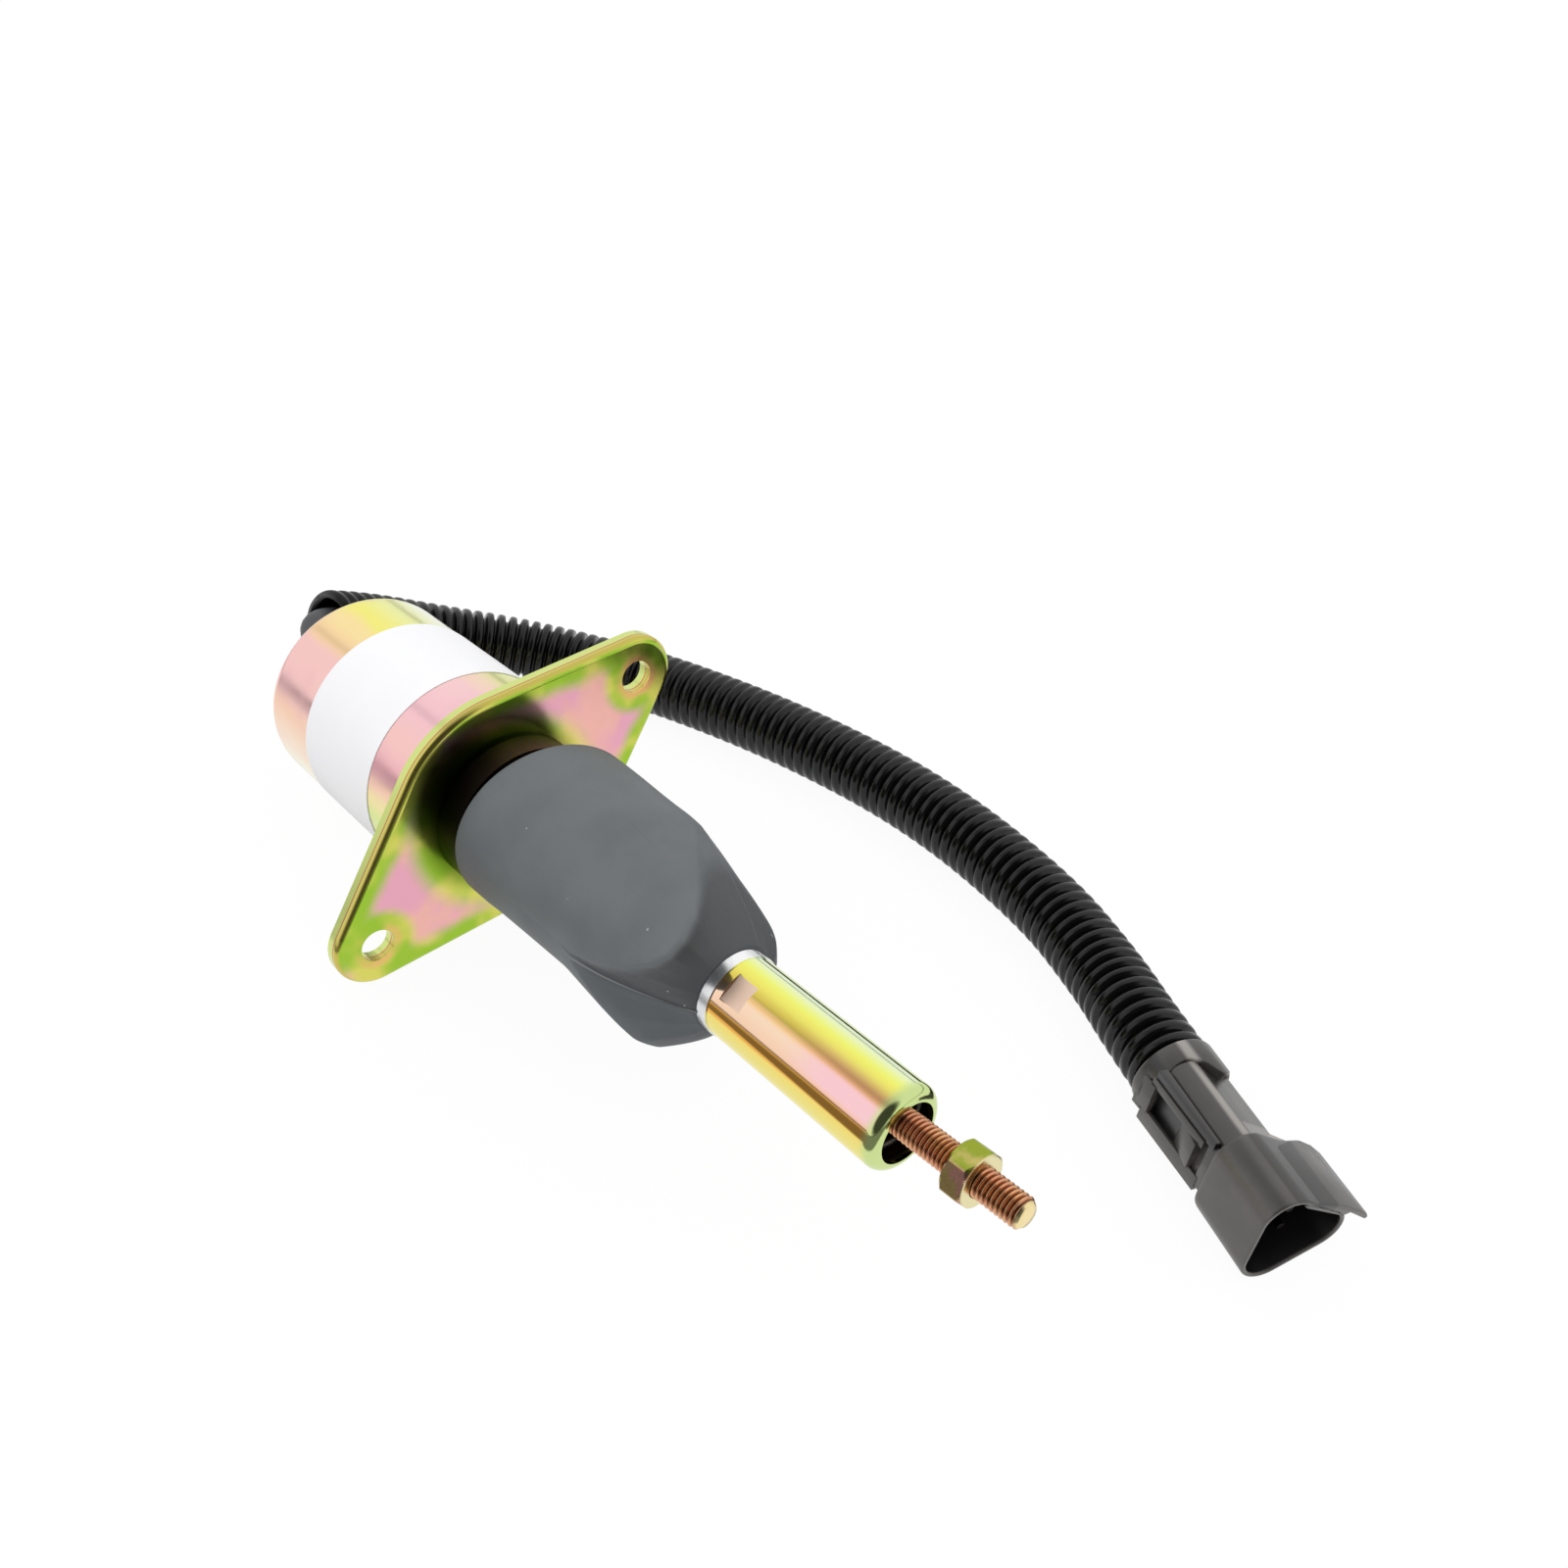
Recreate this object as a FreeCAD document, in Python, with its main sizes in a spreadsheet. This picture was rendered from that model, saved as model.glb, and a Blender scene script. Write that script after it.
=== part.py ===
import FreeCAD, Part
import math
import os
import Sketcher
from FreeCAD import Placement, Rotation, Vector

# Fuel shutoff solenoid: a drawn can with a two-ear flange, a plunger under a folded rubber
# boot, a spring-loaded pull rod in a sleeve, and a lead in corrugated conduit that ends in a
# three-way connector. Millimetres, +Z up.
# The origin is the centre of the flange's mounting face, on the plunger's axis. The object lies
# as on a bench: on one straight edge of the flange and on the can's rear rim, so the axis rises
# a little towards the rod's tip. Stations are measured along that axis from the mounting face.

SIZES = {
    # Can and label
    "can_radius": 25.4,
    "can_length": 66.7,
    "can_wall": 2.0,
    "can_rear_round": 3.5,
    "label_thickness": 0.15,
    "label_width": 30.6,
    "label_setback": 15.2,
    "label_sweep": 322.0,
    # Flange
    "flange_thickness": 4.0,
    "flange_radius": 28.7,
    "ear_radius": 10.0,
    "hole_spacing": 84.0,
    "hole_radius": 4.0,
    "flange_edge_round": 1.6,
    # Pole plate and the hub that the boot grips
    "pole_thickness": 6.0,
    "hub_radius": 18.6,
    "hub_height": 8.0,
    "neck_radius": 16.6,
    "neck_height": 2.4,
    "rim_radius": 17.2,
    "rim_height": 2.6,
    "lip_thickness": 2.0,
    # Magnet
    "plunger_radius": 9.6,
    "tube_wall": 0.8,
    "stop_setback": 1.8,
    "stop_height": 8.0,
    "bobbin_wall": 1.0,
    "bobbin_cheek": 1.6,
    "bobbin_setback": 6.0,
    "hold_coil_depth": 3.4,
    "pull_coil_depth": 5.6,
    "stroke": 25.0,
    # Plunger, its neck ring and the return spring
    "shank_radius": 7.4,
    "stud_radius": 5.0,
    "seat_station": 58.0,
    "seat_radius": 12.0,
    "seat_thickness": 2.5,
    "ring_neck_radius": 6.7,
    "ring_neck_length": 18.3,
    "ring_radius": 9.0,
    "ring_length": 3.8,
    "return_wire": 1.8,
    "return_coil_radius": 10.0,
    "return_turns": 6.0,
    # Boot
    "boot_radius": 19.7,
    "boot_rear_radius": 19.3,
    "boot_shoulder_radius": 20.9,
    "boot_shoulder": 14.0,
    "boot_taper_end": 34.0,
    "boot_offset": 2.2,
    "boot_lean_angle": 57.0,
    "boot_wall": 1.7,
    "boot_front_round": 4.5,
    "fold_start": 50.0,
    "fold_cheek": 68.0,
    "lobe_end": 73.0,
    # Sleeve with the override spring
    "sleeve_radius": 8.75,
    "sleeve_length": 44.8,
    "sleeve_base": 8.2,
    "sleeve_bore": 7.4,
    "mouth_radius": 6.3,
    "mouth_lip": 1.5,
    "nose_round": 2.6,
    "flats_across": 16.4,
    "flats_start": 2.0,
    "flats_length": 5.5,
    "override_wire": 1.5,
    "override_coil_radius": 6.2,
    "override_turns": 7.0,
    # Pull rod and its nut
    "rod_radius": 3.0,
    "rod_shank_radius": 2.7,
    "rod_head_radius": 6.6,
    "rod_head_height": 4.0,
    "rod_length": 62.8,
    "rod_chamfer": 0.7,
    "rod_lean": 3.3,
    "nut_across": 10.0,
    "nut_height": 5.0,
    "nut_distance": 46.1,
    "nut_turn": 35.0,
    # Lead and conduit
    "lead_radius": 4.2,
    "lead_up": 13.5,
    "lead_side": -6.0,
    "grommet_flange": 6.3,
    "grommet_waist": 5.3,
    "conduit_radius": 8.65,
    "conduit_bore": 6.6,
    # Connector
    "shell_spread": 5.7,
    "shell_corner": 5.9,
    "shell_length": 16.0,
    "shell_wall": 1.1,
    "socket_depth": 15.0,
    "carrier_spread": 4.2,
    "carrier_corner": 4.9,
    "carrier_length": 17.5,
    "collar_radius": 9.9,
    "collar_length": 7.0,
    "collar_grip": 3.6,
    "arm_width": 11.0,
    "arm_thickness": 1.3,
    "arm_length": 21.5,
    "window_width": 6.8,
    "window_start": 9.0,
    "window_end": 20.0,
    "pin_radius": 0.8,
    "pin_spread": 2.9,
    "pin_reach": 11.0,
    "wire_radius": 1.1,
    "seal_length": 6.0,
    "seal_bore": 5.4,
    "wedge_spread": 4.4,
    "wedge_corner": 3.9,
    "wedge_height": 4.0,
    # Clearances: a press fit, a running fit and a loose one
    "press_gap": 0.02,
    "running_gap": 0.08,
    "loose_gap": 0.3,
}

doc = FreeCAD.newDocument("fuel_shutoff_solenoid")
sheet = doc.addObject("Spreadsheet::Sheet", "Sizes")
for row, (alias, number) in enumerate(SIZES.items(), start=1):
    sheet.set("A%d" % row, alias)
    sheet.set("B%d" % row, str(number))
    sheet.setAlias("B%d" % row, alias)
doc.recompute()


def value(text):
    """The number that an expression on the sheet gives."""
    return float(sheet.evalExpression(text))


# Named expressions that several pieces share
TUBE_BORE = "(Sizes.plunger_radius + Sizes.running_gap)"
TUBE_OUTER = "(Sizes.plunger_radius + Sizes.running_gap + Sizes.tube_wall)"
SPOOL_BORE = "(%s + Sizes.running_gap)" % TUBE_OUTER
SPOOL_OUTER = "(%s + Sizes.bobbin_wall)" % SPOOL_BORE
HOLD_OUTER = "(%s + Sizes.hold_coil_depth)" % SPOOL_OUTER
PULL_OUTER = "(%s + Sizes.pull_coil_depth)" % HOLD_OUTER
CAN_REAR = "(-Sizes.flange_thickness - Sizes.can_length)"
CAN_FLOOR = "(%s + Sizes.can_wall)" % CAN_REAR
POLE_REAR = "(-Sizes.flange_thickness - Sizes.pole_thickness)"
HUB_FRONT = "(Sizes.hub_height + Sizes.neck_height + Sizes.rim_height)"
LIP_REAR = "(%s - Sizes.lip_thickness)" % HUB_FRONT
SPOOL_REAR = "(%s + Sizes.bobbin_setback)" % CAN_FLOOR
SPOOL_FRONT = "(%s - Sizes.loose_gap)" % POLE_REAR
STOP_REAR = "(%s + Sizes.stop_setback)" % CAN_FLOOR
STOP_FRONT = "(%s + Sizes.stop_height)" % STOP_REAR
PLUNGER_REAR = "(%s + Sizes.stroke + Sizes.loose_gap)" % STOP_FRONT
SHOULDER = "(%s - Sizes.loose_gap)" % LIP_REAR
SEAT_FRONT = "(Sizes.seat_station + Sizes.seat_thickness)"
BOOT_FRONT = "(%s + Sizes.ring_neck_length)" % SEAT_FRONT
SLEEVE_REAR = "(%s + Sizes.ring_length)" % BOOT_FRONT
CHAMBER_REAR = "(%s + Sizes.sleeve_base)" % SLEEVE_REAR
CHAMBER_FRONT = "(%s + Sizes.sleeve_length - Sizes.mouth_lip)" % SLEEVE_REAR
HEAD_REAR = "(%s + 2 * Sizes.loose_gap)" % CHAMBER_REAR
HEAD_FRONT = "(%s + Sizes.rod_head_height)" % HEAD_REAR
FLANK = "(Sizes.carrier_spread / 2 + Sizes.carrier_corner)"

# The resting attitude: the angle at which the flange's rear edge and the rounded rear rim of
# the can touch one level surface
RIM_CENTRE = "(Sizes.can_length - Sizes.can_rear_round)"
RIM_DROP = "(Sizes.flange_radius - Sizes.can_radius + Sizes.can_rear_round)"
TILT = "(atan(%s / %s) - asin(Sizes.can_rear_round / sqrt(%s ^ 2 + %s ^ 2)))" % (
    RIM_DROP, RIM_CENTRE, RIM_CENTRE, RIM_DROP)
tilt = value(TILT)
ear_roll = value("asin((Sizes.flange_radius - Sizes.ear_radius) / (Sizes.hole_spacing / 2))")
along = Vector(math.cos(math.radians(tilt)), 0, math.sin(math.radians(tilt)))
above = Vector(-math.sin(math.radians(tilt)), 0, math.cos(math.radians(tilt)))
beside = Vector(0, 1, 0)
axis_rotation = Rotation(beside, 90 - tilt)
bench = -value("Sizes.flange_radius") * above.z - value("Sizes.flange_thickness") * along.z

nodes = []


def keep(feature, label):
    """Names a finished piece and lists it for export."""
    feature.Label = label
    nodes.append(feature)
    return feature


def lay(feature, station, spin=0.0):
    """Puts a piece that was modelled along its own Z on the solenoid's axis at a station."""
    feature.Placement = Placement(Vector(), axis_rotation.multiply(Rotation(Vector(0, 0, 1), spin)))
    feature.setExpression("Placement.Base.x", "%s * cos(%s)" % (station, TILT))
    feature.setExpression("Placement.Base.z", "%s * sin(%s)" % (station, TILT))


def origin_plane(body, role):
    """One of a body's own origin planes."""
    return [plane for plane in body.Origin.OriginFeatures if plane.Role == role][0]


def polygon_sketch(body, name, role, corners, offset=Placement()):
    """A closed sketch whose corners are pairs of expressions, each bound to the sheet."""
    sketch = body.newObject("Sketcher::SketchObject", name)
    sketch.AttachmentSupport = (origin_plane(body, role), [""])
    sketch.MapMode = "FlatFace"
    sketch.AttachmentOffset = offset
    places = [Vector(value(first), value(second), 0) for first, second in corners]
    count = len(places)
    for index in range(count):
        sketch.addGeometry(Part.LineSegment(places[index], places[(index + 1) % count]), False)
    for index in range(count):
        sketch.addConstraint(Sketcher.Constraint("Coincident", index, 2, (index + 1) % count, 1))
    for index, (first, second) in enumerate(corners):
        for kind, text, number, axis in (("DistanceX", first, places[index].x, -2),
                                         ("DistanceY", second, places[index].y, -1)):
            if text == "0":
                sketch.addConstraint(Sketcher.Constraint("PointOnObject", index, 1, axis))
                continue
            made = sketch.addConstraint(Sketcher.Constraint(kind, -1, 1, index, 1, number))
            sketch.setExpression("Constraints[%d]" % made, text)
    return sketch


def turned(name, outline, sweep=None):
    """A body revolved about its own Z from an outline of radius and height expressions."""
    body = doc.addObject("PartDesign::Body", name)
    sketch = polygon_sketch(body, name + "_outline", "XZ_Plane", outline)
    turn = body.newObject("PartDesign::Revolution", name + "_turn")
    turn.Profile = sketch
    turn.ReferenceAxis = (sketch, ["V_Axis"])
    turn.Angle = 360
    if sweep:
        turn.Midplane = True
        turn.setExpression("Angle", sweep)
    doc.recompute()
    return body


def tube(name, inner, outer, height):
    """A turned tube from its bore, its outside and its height."""
    return turned(name, [(inner, "0"), (outer, "0"), (outer, height), (inner, height)])


def padded(body, name, sketch, height, midplane=False):
    """A pad of a sketch, with its height bound to the sheet."""
    pad = body.newObject("PartDesign::Pad", name)
    pad.Profile = sketch
    pad.setExpression("Length", height)
    pad.Midplane = midplane
    doc.recompute()
    return pad


def primitive(body, kind, name, sizes, base=("0", "0", "0"), spin=0.0):
    """A PartDesign primitive with its sizes and its place bound to the sheet."""
    feature = body.newObject("PartDesign::" + kind, name)
    feature.Placement = Placement(Vector(), Rotation(Vector(0, 0, 1), spin))
    for size, text in sizes.items():
        feature.setExpression(size, text)
    for letter, text in zip("xyz", base):
        if text != "0":
            feature.setExpression("Placement.Base." + letter, text)
    doc.recompute()
    return feature


def rounded(body, name, radius, pick):
    """Rounds the edges of a body's tip that a test picks."""
    tip = body.Tip
    names = ["Edge%d" % (index + 1) for index, edge in enumerate(tip.Shape.Edges) if pick(edge)]
    if not names:
        raise RuntimeError("no edge to round on " + name)
    fillet = body.newObject("PartDesign::Fillet", name)
    fillet.Base = (tip, names)
    fillet.setExpression("Radius", radius)
    doc.recompute()
    return fillet


def circle_at(radius, height):
    """A test for the round edge of a given radius at a given height."""
    def pick(edge):
        if not isinstance(edge.Curve, Part.Circle):
            return False
        return abs(edge.Curve.Radius - radius) < 0.01 and abs(edge.Curve.Center.z - height) < 0.01
    return pick


def corner_sketch(body, name, distance, corner, offset=Placement()):
    """A three-sided outline with rounded corners, the first of them on the local X axis."""
    sketch = body.newObject("Sketcher::SketchObject", name)
    sketch.AttachmentSupport = (origin_plane(body, "XY_Plane"), [""])
    sketch.MapMode = "FlatFace"
    sketch.AttachmentOffset = offset
    reach = value(distance)
    radius = value(corner)
    centres = []
    for index in range(3):
        turn = math.radians(120.0 * index)
        centres.append(Vector(reach * math.cos(turn), reach * math.sin(turn), 0))
    for index in range(3):
        spots = []
        for side in (-60.0, 0.0, 60.0):
            turn = math.radians(120.0 * index + side)
            spots.append(centres[index] + Vector(radius * math.cos(turn), radius * math.sin(turn), 0))
        sketch.addGeometry(Part.Arc(*spots), False)
    for index in range(3):
        turn = math.radians(120.0 * index + 60.0)
        out = Vector(radius * math.cos(turn), radius * math.sin(turn), 0)
        line = Part.LineSegment(centres[index] + out, centres[(index + 1) % 3] + out)
        sketch.addGeometry(line, False)
    for index in range(3):
        sketch.addConstraint(Sketcher.Constraint("Tangent", index, 2, 3 + index, 1))
        sketch.addConstraint(Sketcher.Constraint("Tangent", 3 + index, 2, (index + 1) % 3, 1))
    made = sketch.addConstraint(Sketcher.Constraint("Radius", 0, radius))
    sketch.setExpression("Constraints[%d]" % made, corner)
    sketch.addConstraint(Sketcher.Constraint("PointOnObject", 0, 3, -1))
    for index in range(3):
        if index:
            sketch.addConstraint(Sketcher.Constraint("Equal", 0, index))
            rise = sketch.addConstraint(
                Sketcher.Constraint("DistanceY", -1, 1, index, 3, centres[index].y))
            sketch.setExpression("Constraints[%d]" % rise, "(%s) * sin(%d)" % (distance, 120 * index))
        across = sketch.addConstraint(
            Sketcher.Constraint("DistanceX", -1, 1, index, 3, centres[index].x))
        sketch.setExpression("Constraints[%d]" % across, "(%s) * cos(%d)" % (distance, 120 * index))
    return sketch


# Can, drawn from one sheet, with the lead's hole in its closed rear face
def make_can():
    outer = "Sizes.can_radius"
    inner = "Sizes.can_radius - Sizes.can_wall"
    body = turned("housing_can", [("0", "0"), (outer, "0"), (outer, "Sizes.can_length"),
                                  (inner, "Sizes.can_length"), (inner, "Sizes.can_wall"),
                                  ("0", "Sizes.can_wall")])
    rounded(body, "can_rear_edge", "Sizes.can_rear_round", circle_at(value(outer), 0))
    rounded(body, "can_inner_corner", "Sizes.can_rear_round - Sizes.can_wall",
            circle_at(value(inner), value("Sizes.can_wall")))
    primitive(body, "SubtractiveCylinder", "lead_hole",
              {"Radius": "Sizes.grommet_waist + Sizes.press_gap", "Height": "3 * Sizes.can_wall"},
              ("-Sizes.lead_up", "Sizes.lead_side", "-Sizes.can_wall"))
    lay(keep(body, "housing_can"), CAN_REAR)


def make_label():
    outer = "Sizes.can_radius + Sizes.label_thickness"
    body = turned("label_wrap", [("Sizes.can_radius", "0"), (outer, "0"),
                                 (outer, "Sizes.label_width"),
                                 ("Sizes.can_radius", "Sizes.label_width")], "Sizes.label_sweep")
    station = "(-Sizes.flange_thickness - Sizes.label_setback - Sizes.label_width)"
    lay(keep(body, "label_wrap"), station, 180.0)


# Flange: two ears joined to a round middle by straight tangents, rolled so that one tangent
# edge lies level along the bench
def make_flange():
    middle = value("Sizes.flange_radius")
    ear = value("Sizes.ear_radius")
    reach = value("Sizes.hole_spacing") / 2
    lean = math.acos((middle - ear) / reach)
    heading = math.radians(90 + ear_roll)

    def polar(radius, angle, centre=Vector()):
        return centre + Vector(radius * math.cos(angle), radius * math.sin(angle), 0)

    def bow(radius, centre, first, last):
        half = (first + last) / 2
        return Part.Arc(polar(radius, first, centre), polar(radius, half, centre),
                        polar(radius, last, centre))

    far = polar(reach, heading)
    near = polar(reach, heading + math.pi)
    turn = math.pi
    shapes = [
        bow(ear, far, heading - lean, heading + lean),
        Part.LineSegment(polar(ear, heading + lean, far), polar(middle, heading + lean)),
        bow(middle, Vector(), heading + lean, heading + turn - lean),
        Part.LineSegment(polar(middle, heading + turn - lean), polar(ear, heading + turn - lean, near)),
        bow(ear, near, heading + turn - lean, heading + turn + lean),
        Part.LineSegment(polar(ear, heading + turn + lean, near), polar(middle, heading + turn + lean)),
        bow(middle, Vector(), heading + turn + lean, heading + 2 * turn - lean),
        Part.LineSegment(polar(middle, heading + 2 * turn - lean), polar(ear, heading - lean, far)),
    ]
    body = doc.addObject("PartDesign::Body", "flange_plate")
    sketch = body.newObject("Sketcher::SketchObject", "flange_outline")
    sketch.AttachmentSupport = (origin_plane(body, "XY_Plane"), [""])
    sketch.MapMode = "FlatFace"
    for shape in shapes:
        sketch.addGeometry(shape, False)
    spine = sketch.addGeometry(Part.LineSegment(near, far), True)
    for index in range(8):
        sketch.addConstraint(Sketcher.Constraint("Tangent", index, 2, (index + 1) % 8, 1))
    for index in (2, 6):
        sketch.addConstraint(Sketcher.Constraint("Coincident", index, 3, -1, 1))
    sketch.addConstraint(Sketcher.Constraint("Coincident", 0, 3, spine, 2))
    sketch.addConstraint(Sketcher.Constraint("Coincident", 4, 3, spine, 1))
    sketch.addConstraint(Sketcher.Constraint("Symmetric", spine, 1, spine, 2, -1, 1))
    sketch.addConstraint(Sketcher.Constraint("Equal", 2, 6))
    bound = [
        (Sketcher.Constraint("Radius", 0, ear), "Sizes.ear_radius"),
        (Sketcher.Constraint("Radius", 4, ear), "Sizes.ear_radius"),
        (Sketcher.Constraint("Radius", 2, middle), "Sizes.flange_radius"),
        (Sketcher.Constraint("Distance", spine, 2 * reach), "Sizes.hole_spacing"),
        (Sketcher.Constraint("Angle", -1, 1, spine, 1, heading),
         "90 deg + asin((Sizes.flange_radius - Sizes.ear_radius) / (Sizes.hole_spacing / 2))"),
    ]
    for constraint, text in bound:
        made = sketch.addConstraint(constraint)
        sketch.setExpression("Constraints[%d]" % made, text)
    doc.recompute()
    padded(body, "flange_pad", sketch, "Sizes.flange_thickness")
    face = value("Sizes.flange_thickness")
    rounded(body, "flange_front_edge", "Sizes.flange_edge_round",
            lambda edge: all(abs(vertex.Z - face) < 0.001 for vertex in edge.Vertexes))
    primitive(body, "SubtractiveCylinder", "hub_bore",
              {"Radius": "Sizes.hub_radius + Sizes.press_gap", "Height": "Sizes.flange_thickness"})
    for side in (1, -1):
        centre = polar(side * reach, heading)
        hole = primitive(body, "SubtractiveCylinder", "ear_hole_%d" % (2 - side),
                         {"Radius": "Sizes.hole_radius", "Height": "Sizes.flange_thickness"})
        hole.Placement = Placement(centre, Rotation())
    doc.recompute()
    lay(keep(body, "flange_plate"), "(-Sizes.flange_thickness)")
    ear_places = [polar(side * reach, heading) for side in (1, -1)]
    return ear_places


def make_pole_plate():
    disc = "Sizes.can_radius - Sizes.can_wall - Sizes.press_gap"
    bore = "%s + Sizes.press_gap" % TUBE_OUTER
    throat = "Sizes.shank_radius + Sizes.loose_gap"
    heights = ["Sizes.pole_thickness"]
    for step in ("Sizes.flange_thickness + Sizes.hub_height", "Sizes.neck_height",
                 "Sizes.rim_height"):
        heights.append(heights[-1] + " + " + step)
    body = turned("pole_plate", [
        (bore, "0"), (disc, "0"), (disc, heights[0]), ("Sizes.hub_radius", heights[0]),
        ("Sizes.hub_radius", heights[1]), ("Sizes.neck_radius", heights[1]),
        ("Sizes.neck_radius", heights[2]), ("Sizes.rim_radius", heights[2]),
        ("Sizes.rim_radius", heights[3]), (throat, heights[3]),
        (throat, heights[3] + " - Sizes.lip_thickness"),
        (bore, heights[3] + " - Sizes.lip_thickness")])
    lay(keep(body, "pole_plate"), POLE_REAR)


# Magnet: guide tube from the can's floor to the hub's lip, with the spool and its windings
def make_magnet():
    guide = tube("guide_tube", TUBE_BORE, TUBE_OUTER, "%s - %s" % (LIP_REAR, STOP_REAR))
    lay(keep(guide, "guide_tube"), STOP_REAR)
    stop = turned("rear_stop", [("0", "0"), (TUBE_BORE + " - Sizes.press_gap", "0"),
                                (TUBE_BORE + " - Sizes.press_gap", "Sizes.stop_height"),
                                ("0", "Sizes.stop_height")])
    lay(keep(stop, "rear_stop"), STOP_REAR)
    length = "%s - %s" % (SPOOL_FRONT, SPOOL_REAR)
    cheek = PULL_OUTER + " + Sizes.running_gap"
    spool = turned("coil_bobbin", [
        (SPOOL_BORE, "0"), (cheek, "0"), (cheek, "Sizes.bobbin_cheek"),
        (SPOOL_OUTER, "Sizes.bobbin_cheek"), (SPOOL_OUTER, length + " - Sizes.bobbin_cheek"),
        (cheek, length + " - Sizes.bobbin_cheek"), (cheek, length), (SPOOL_BORE, length)])
    lay(keep(spool, "coil_bobbin"), SPOOL_REAR)
    winding = length + " - 2 * Sizes.bobbin_cheek"
    station = "(%s + Sizes.bobbin_cheek)" % SPOOL_REAR
    hold = tube("hold_coil", SPOOL_OUTER + " + Sizes.running_gap", HOLD_OUTER, winding)
    lay(keep(hold, "hold_coil"), station)
    pull = tube("pull_coil", HOLD_OUTER, PULL_OUTER, winding)
    lay(keep(pull, "pull_coil"), station)


# Plunger: guided barrel, a shoulder that meets the hub's lip, a long shank and a stud
def make_plunger():
    shoulder = "%s - %s" % (SHOULDER, PLUNGER_REAR)
    shank = "Sizes.seat_station - %s" % PLUNGER_REAR
    tip = "%s - Sizes.loose_gap - %s" % (CHAMBER_REAR, PLUNGER_REAR)
    body = turned("plunger", [
        ("0", "0"), ("Sizes.plunger_radius", "0"), ("Sizes.plunger_radius", shoulder),
        ("Sizes.shank_radius", shoulder), ("Sizes.shank_radius", shank),
        ("Sizes.stud_radius", shank), ("Sizes.stud_radius", tip), ("0", tip)])
    lay(keep(body, "plunger"), PLUNGER_REAR)


def make_neck_ring():
    bore = "Sizes.stud_radius + Sizes.press_gap"
    neck = "Sizes.seat_thickness + Sizes.ring_neck_length"
    body = turned("neck_ring", [
        (bore, "0"), ("Sizes.seat_radius", "0"), ("Sizes.seat_radius", "Sizes.seat_thickness"),
        ("Sizes.ring_neck_radius", "Sizes.seat_thickness"), ("Sizes.ring_neck_radius", neck),
        ("Sizes.ring_radius", neck), ("Sizes.ring_radius", neck + " + Sizes.ring_length"),
        (bore, neck + " + Sizes.ring_length")])
    lay(keep(body, "neck_ring"), "Sizes.seat_station")


# Coil springs: a six-sided wire section swept along a helix whose ends rest on the two seats
def make_spring(label, coil, wire, turns, rear, front):
    helix = doc.addObject("Part::Helix", label + "_helix")
    free = "(%s - %s - %s - 2 * Sizes.running_gap)" % (front, rear, wire)
    helix.setExpression("Radius", coil)
    helix.setExpression("Height", free)
    helix.setExpression("Pitch", "%s / %s" % (free, turns))
    section = doc.addObject("Part::RegularPolygon", label + "_wire")
    section.Polygon = 6
    section.setExpression("Circumradius", "1.05 * %s / 2" % wire)
    section.Placement = Placement(Vector(), Rotation(Vector(1, 0, 0), 90))
    section.setExpression("Placement.Base.x", coil)
    doc.recompute()
    spring = doc.addObject("Part::Sweep", label)
    spring.Sections = [section]
    spring.Spine = (helix, ["Edge1"])
    spring.Solid = True
    spring.Frenet = True
    doc.recompute()
    lay(keep(spring, label), "(%s + %s / 2 + Sizes.running_gap)" % (rear, wire))


def make_sleeve():
    bore = "Sizes.stud_radius + Sizes.press_gap"
    top = "Sizes.sleeve_length - Sizes.mouth_lip"
    body = turned("override_sleeve", [
        (bore, "0"), ("Sizes.sleeve_radius", "0"), ("Sizes.sleeve_radius", "Sizes.sleeve_length"),
        ("Sizes.mouth_radius", "Sizes.sleeve_length"), ("Sizes.mouth_radius", top),
        ("Sizes.sleeve_bore", top), ("Sizes.sleeve_bore", "Sizes.sleeve_base"),
        (bore, "Sizes.sleeve_base")])
    rounded(body, "sleeve_nose", "min(Sizes.nose_round; 0.98 * (Sizes.sleeve_radius - Sizes.mouth_radius))",
            circle_at(value("Sizes.sleeve_radius"), value("Sizes.sleeve_length")))
    for side, name in ((1, "upper_flat"), (-1, "lower_flat")):
        start = "Sizes.flats_across / 2" if side > 0 else "-Sizes.flats_across / 2 - Sizes.sleeve_radius"
        primitive(body, "SubtractiveBox", name,
                  {"Length": "Sizes.sleeve_radius", "Width": "2 * Sizes.sleeve_radius",
                   "Height": "Sizes.flats_length"},
                  (start, "-Sizes.sleeve_radius", "Sizes.flats_start"))
    lay(keep(body, "override_sleeve"), SLEEVE_REAR, 30.0)


# Pull rod and nut: they lean up in the sleeve's mouth about the middle of the rod's head
rod_angle = tilt + value("Sizes.rod_lean")
rod_along = Vector(math.cos(math.radians(rod_angle)), 0, math.sin(math.radians(rod_angle)))
rod_pivot = along * value("(%s + %s) / 2" % (HEAD_REAR, HEAD_FRONT))


def lay_on_rod(feature, distance, turn=0):
    """Puts a piece on the rod's own axis at a distance from the middle of its head."""
    turned_round = Rotation(beside, 90 - rod_angle) * Rotation(Vector(0, 0, 1), turn)
    feature.Placement = Placement(rod_pivot + rod_along * distance, turned_round)


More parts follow.
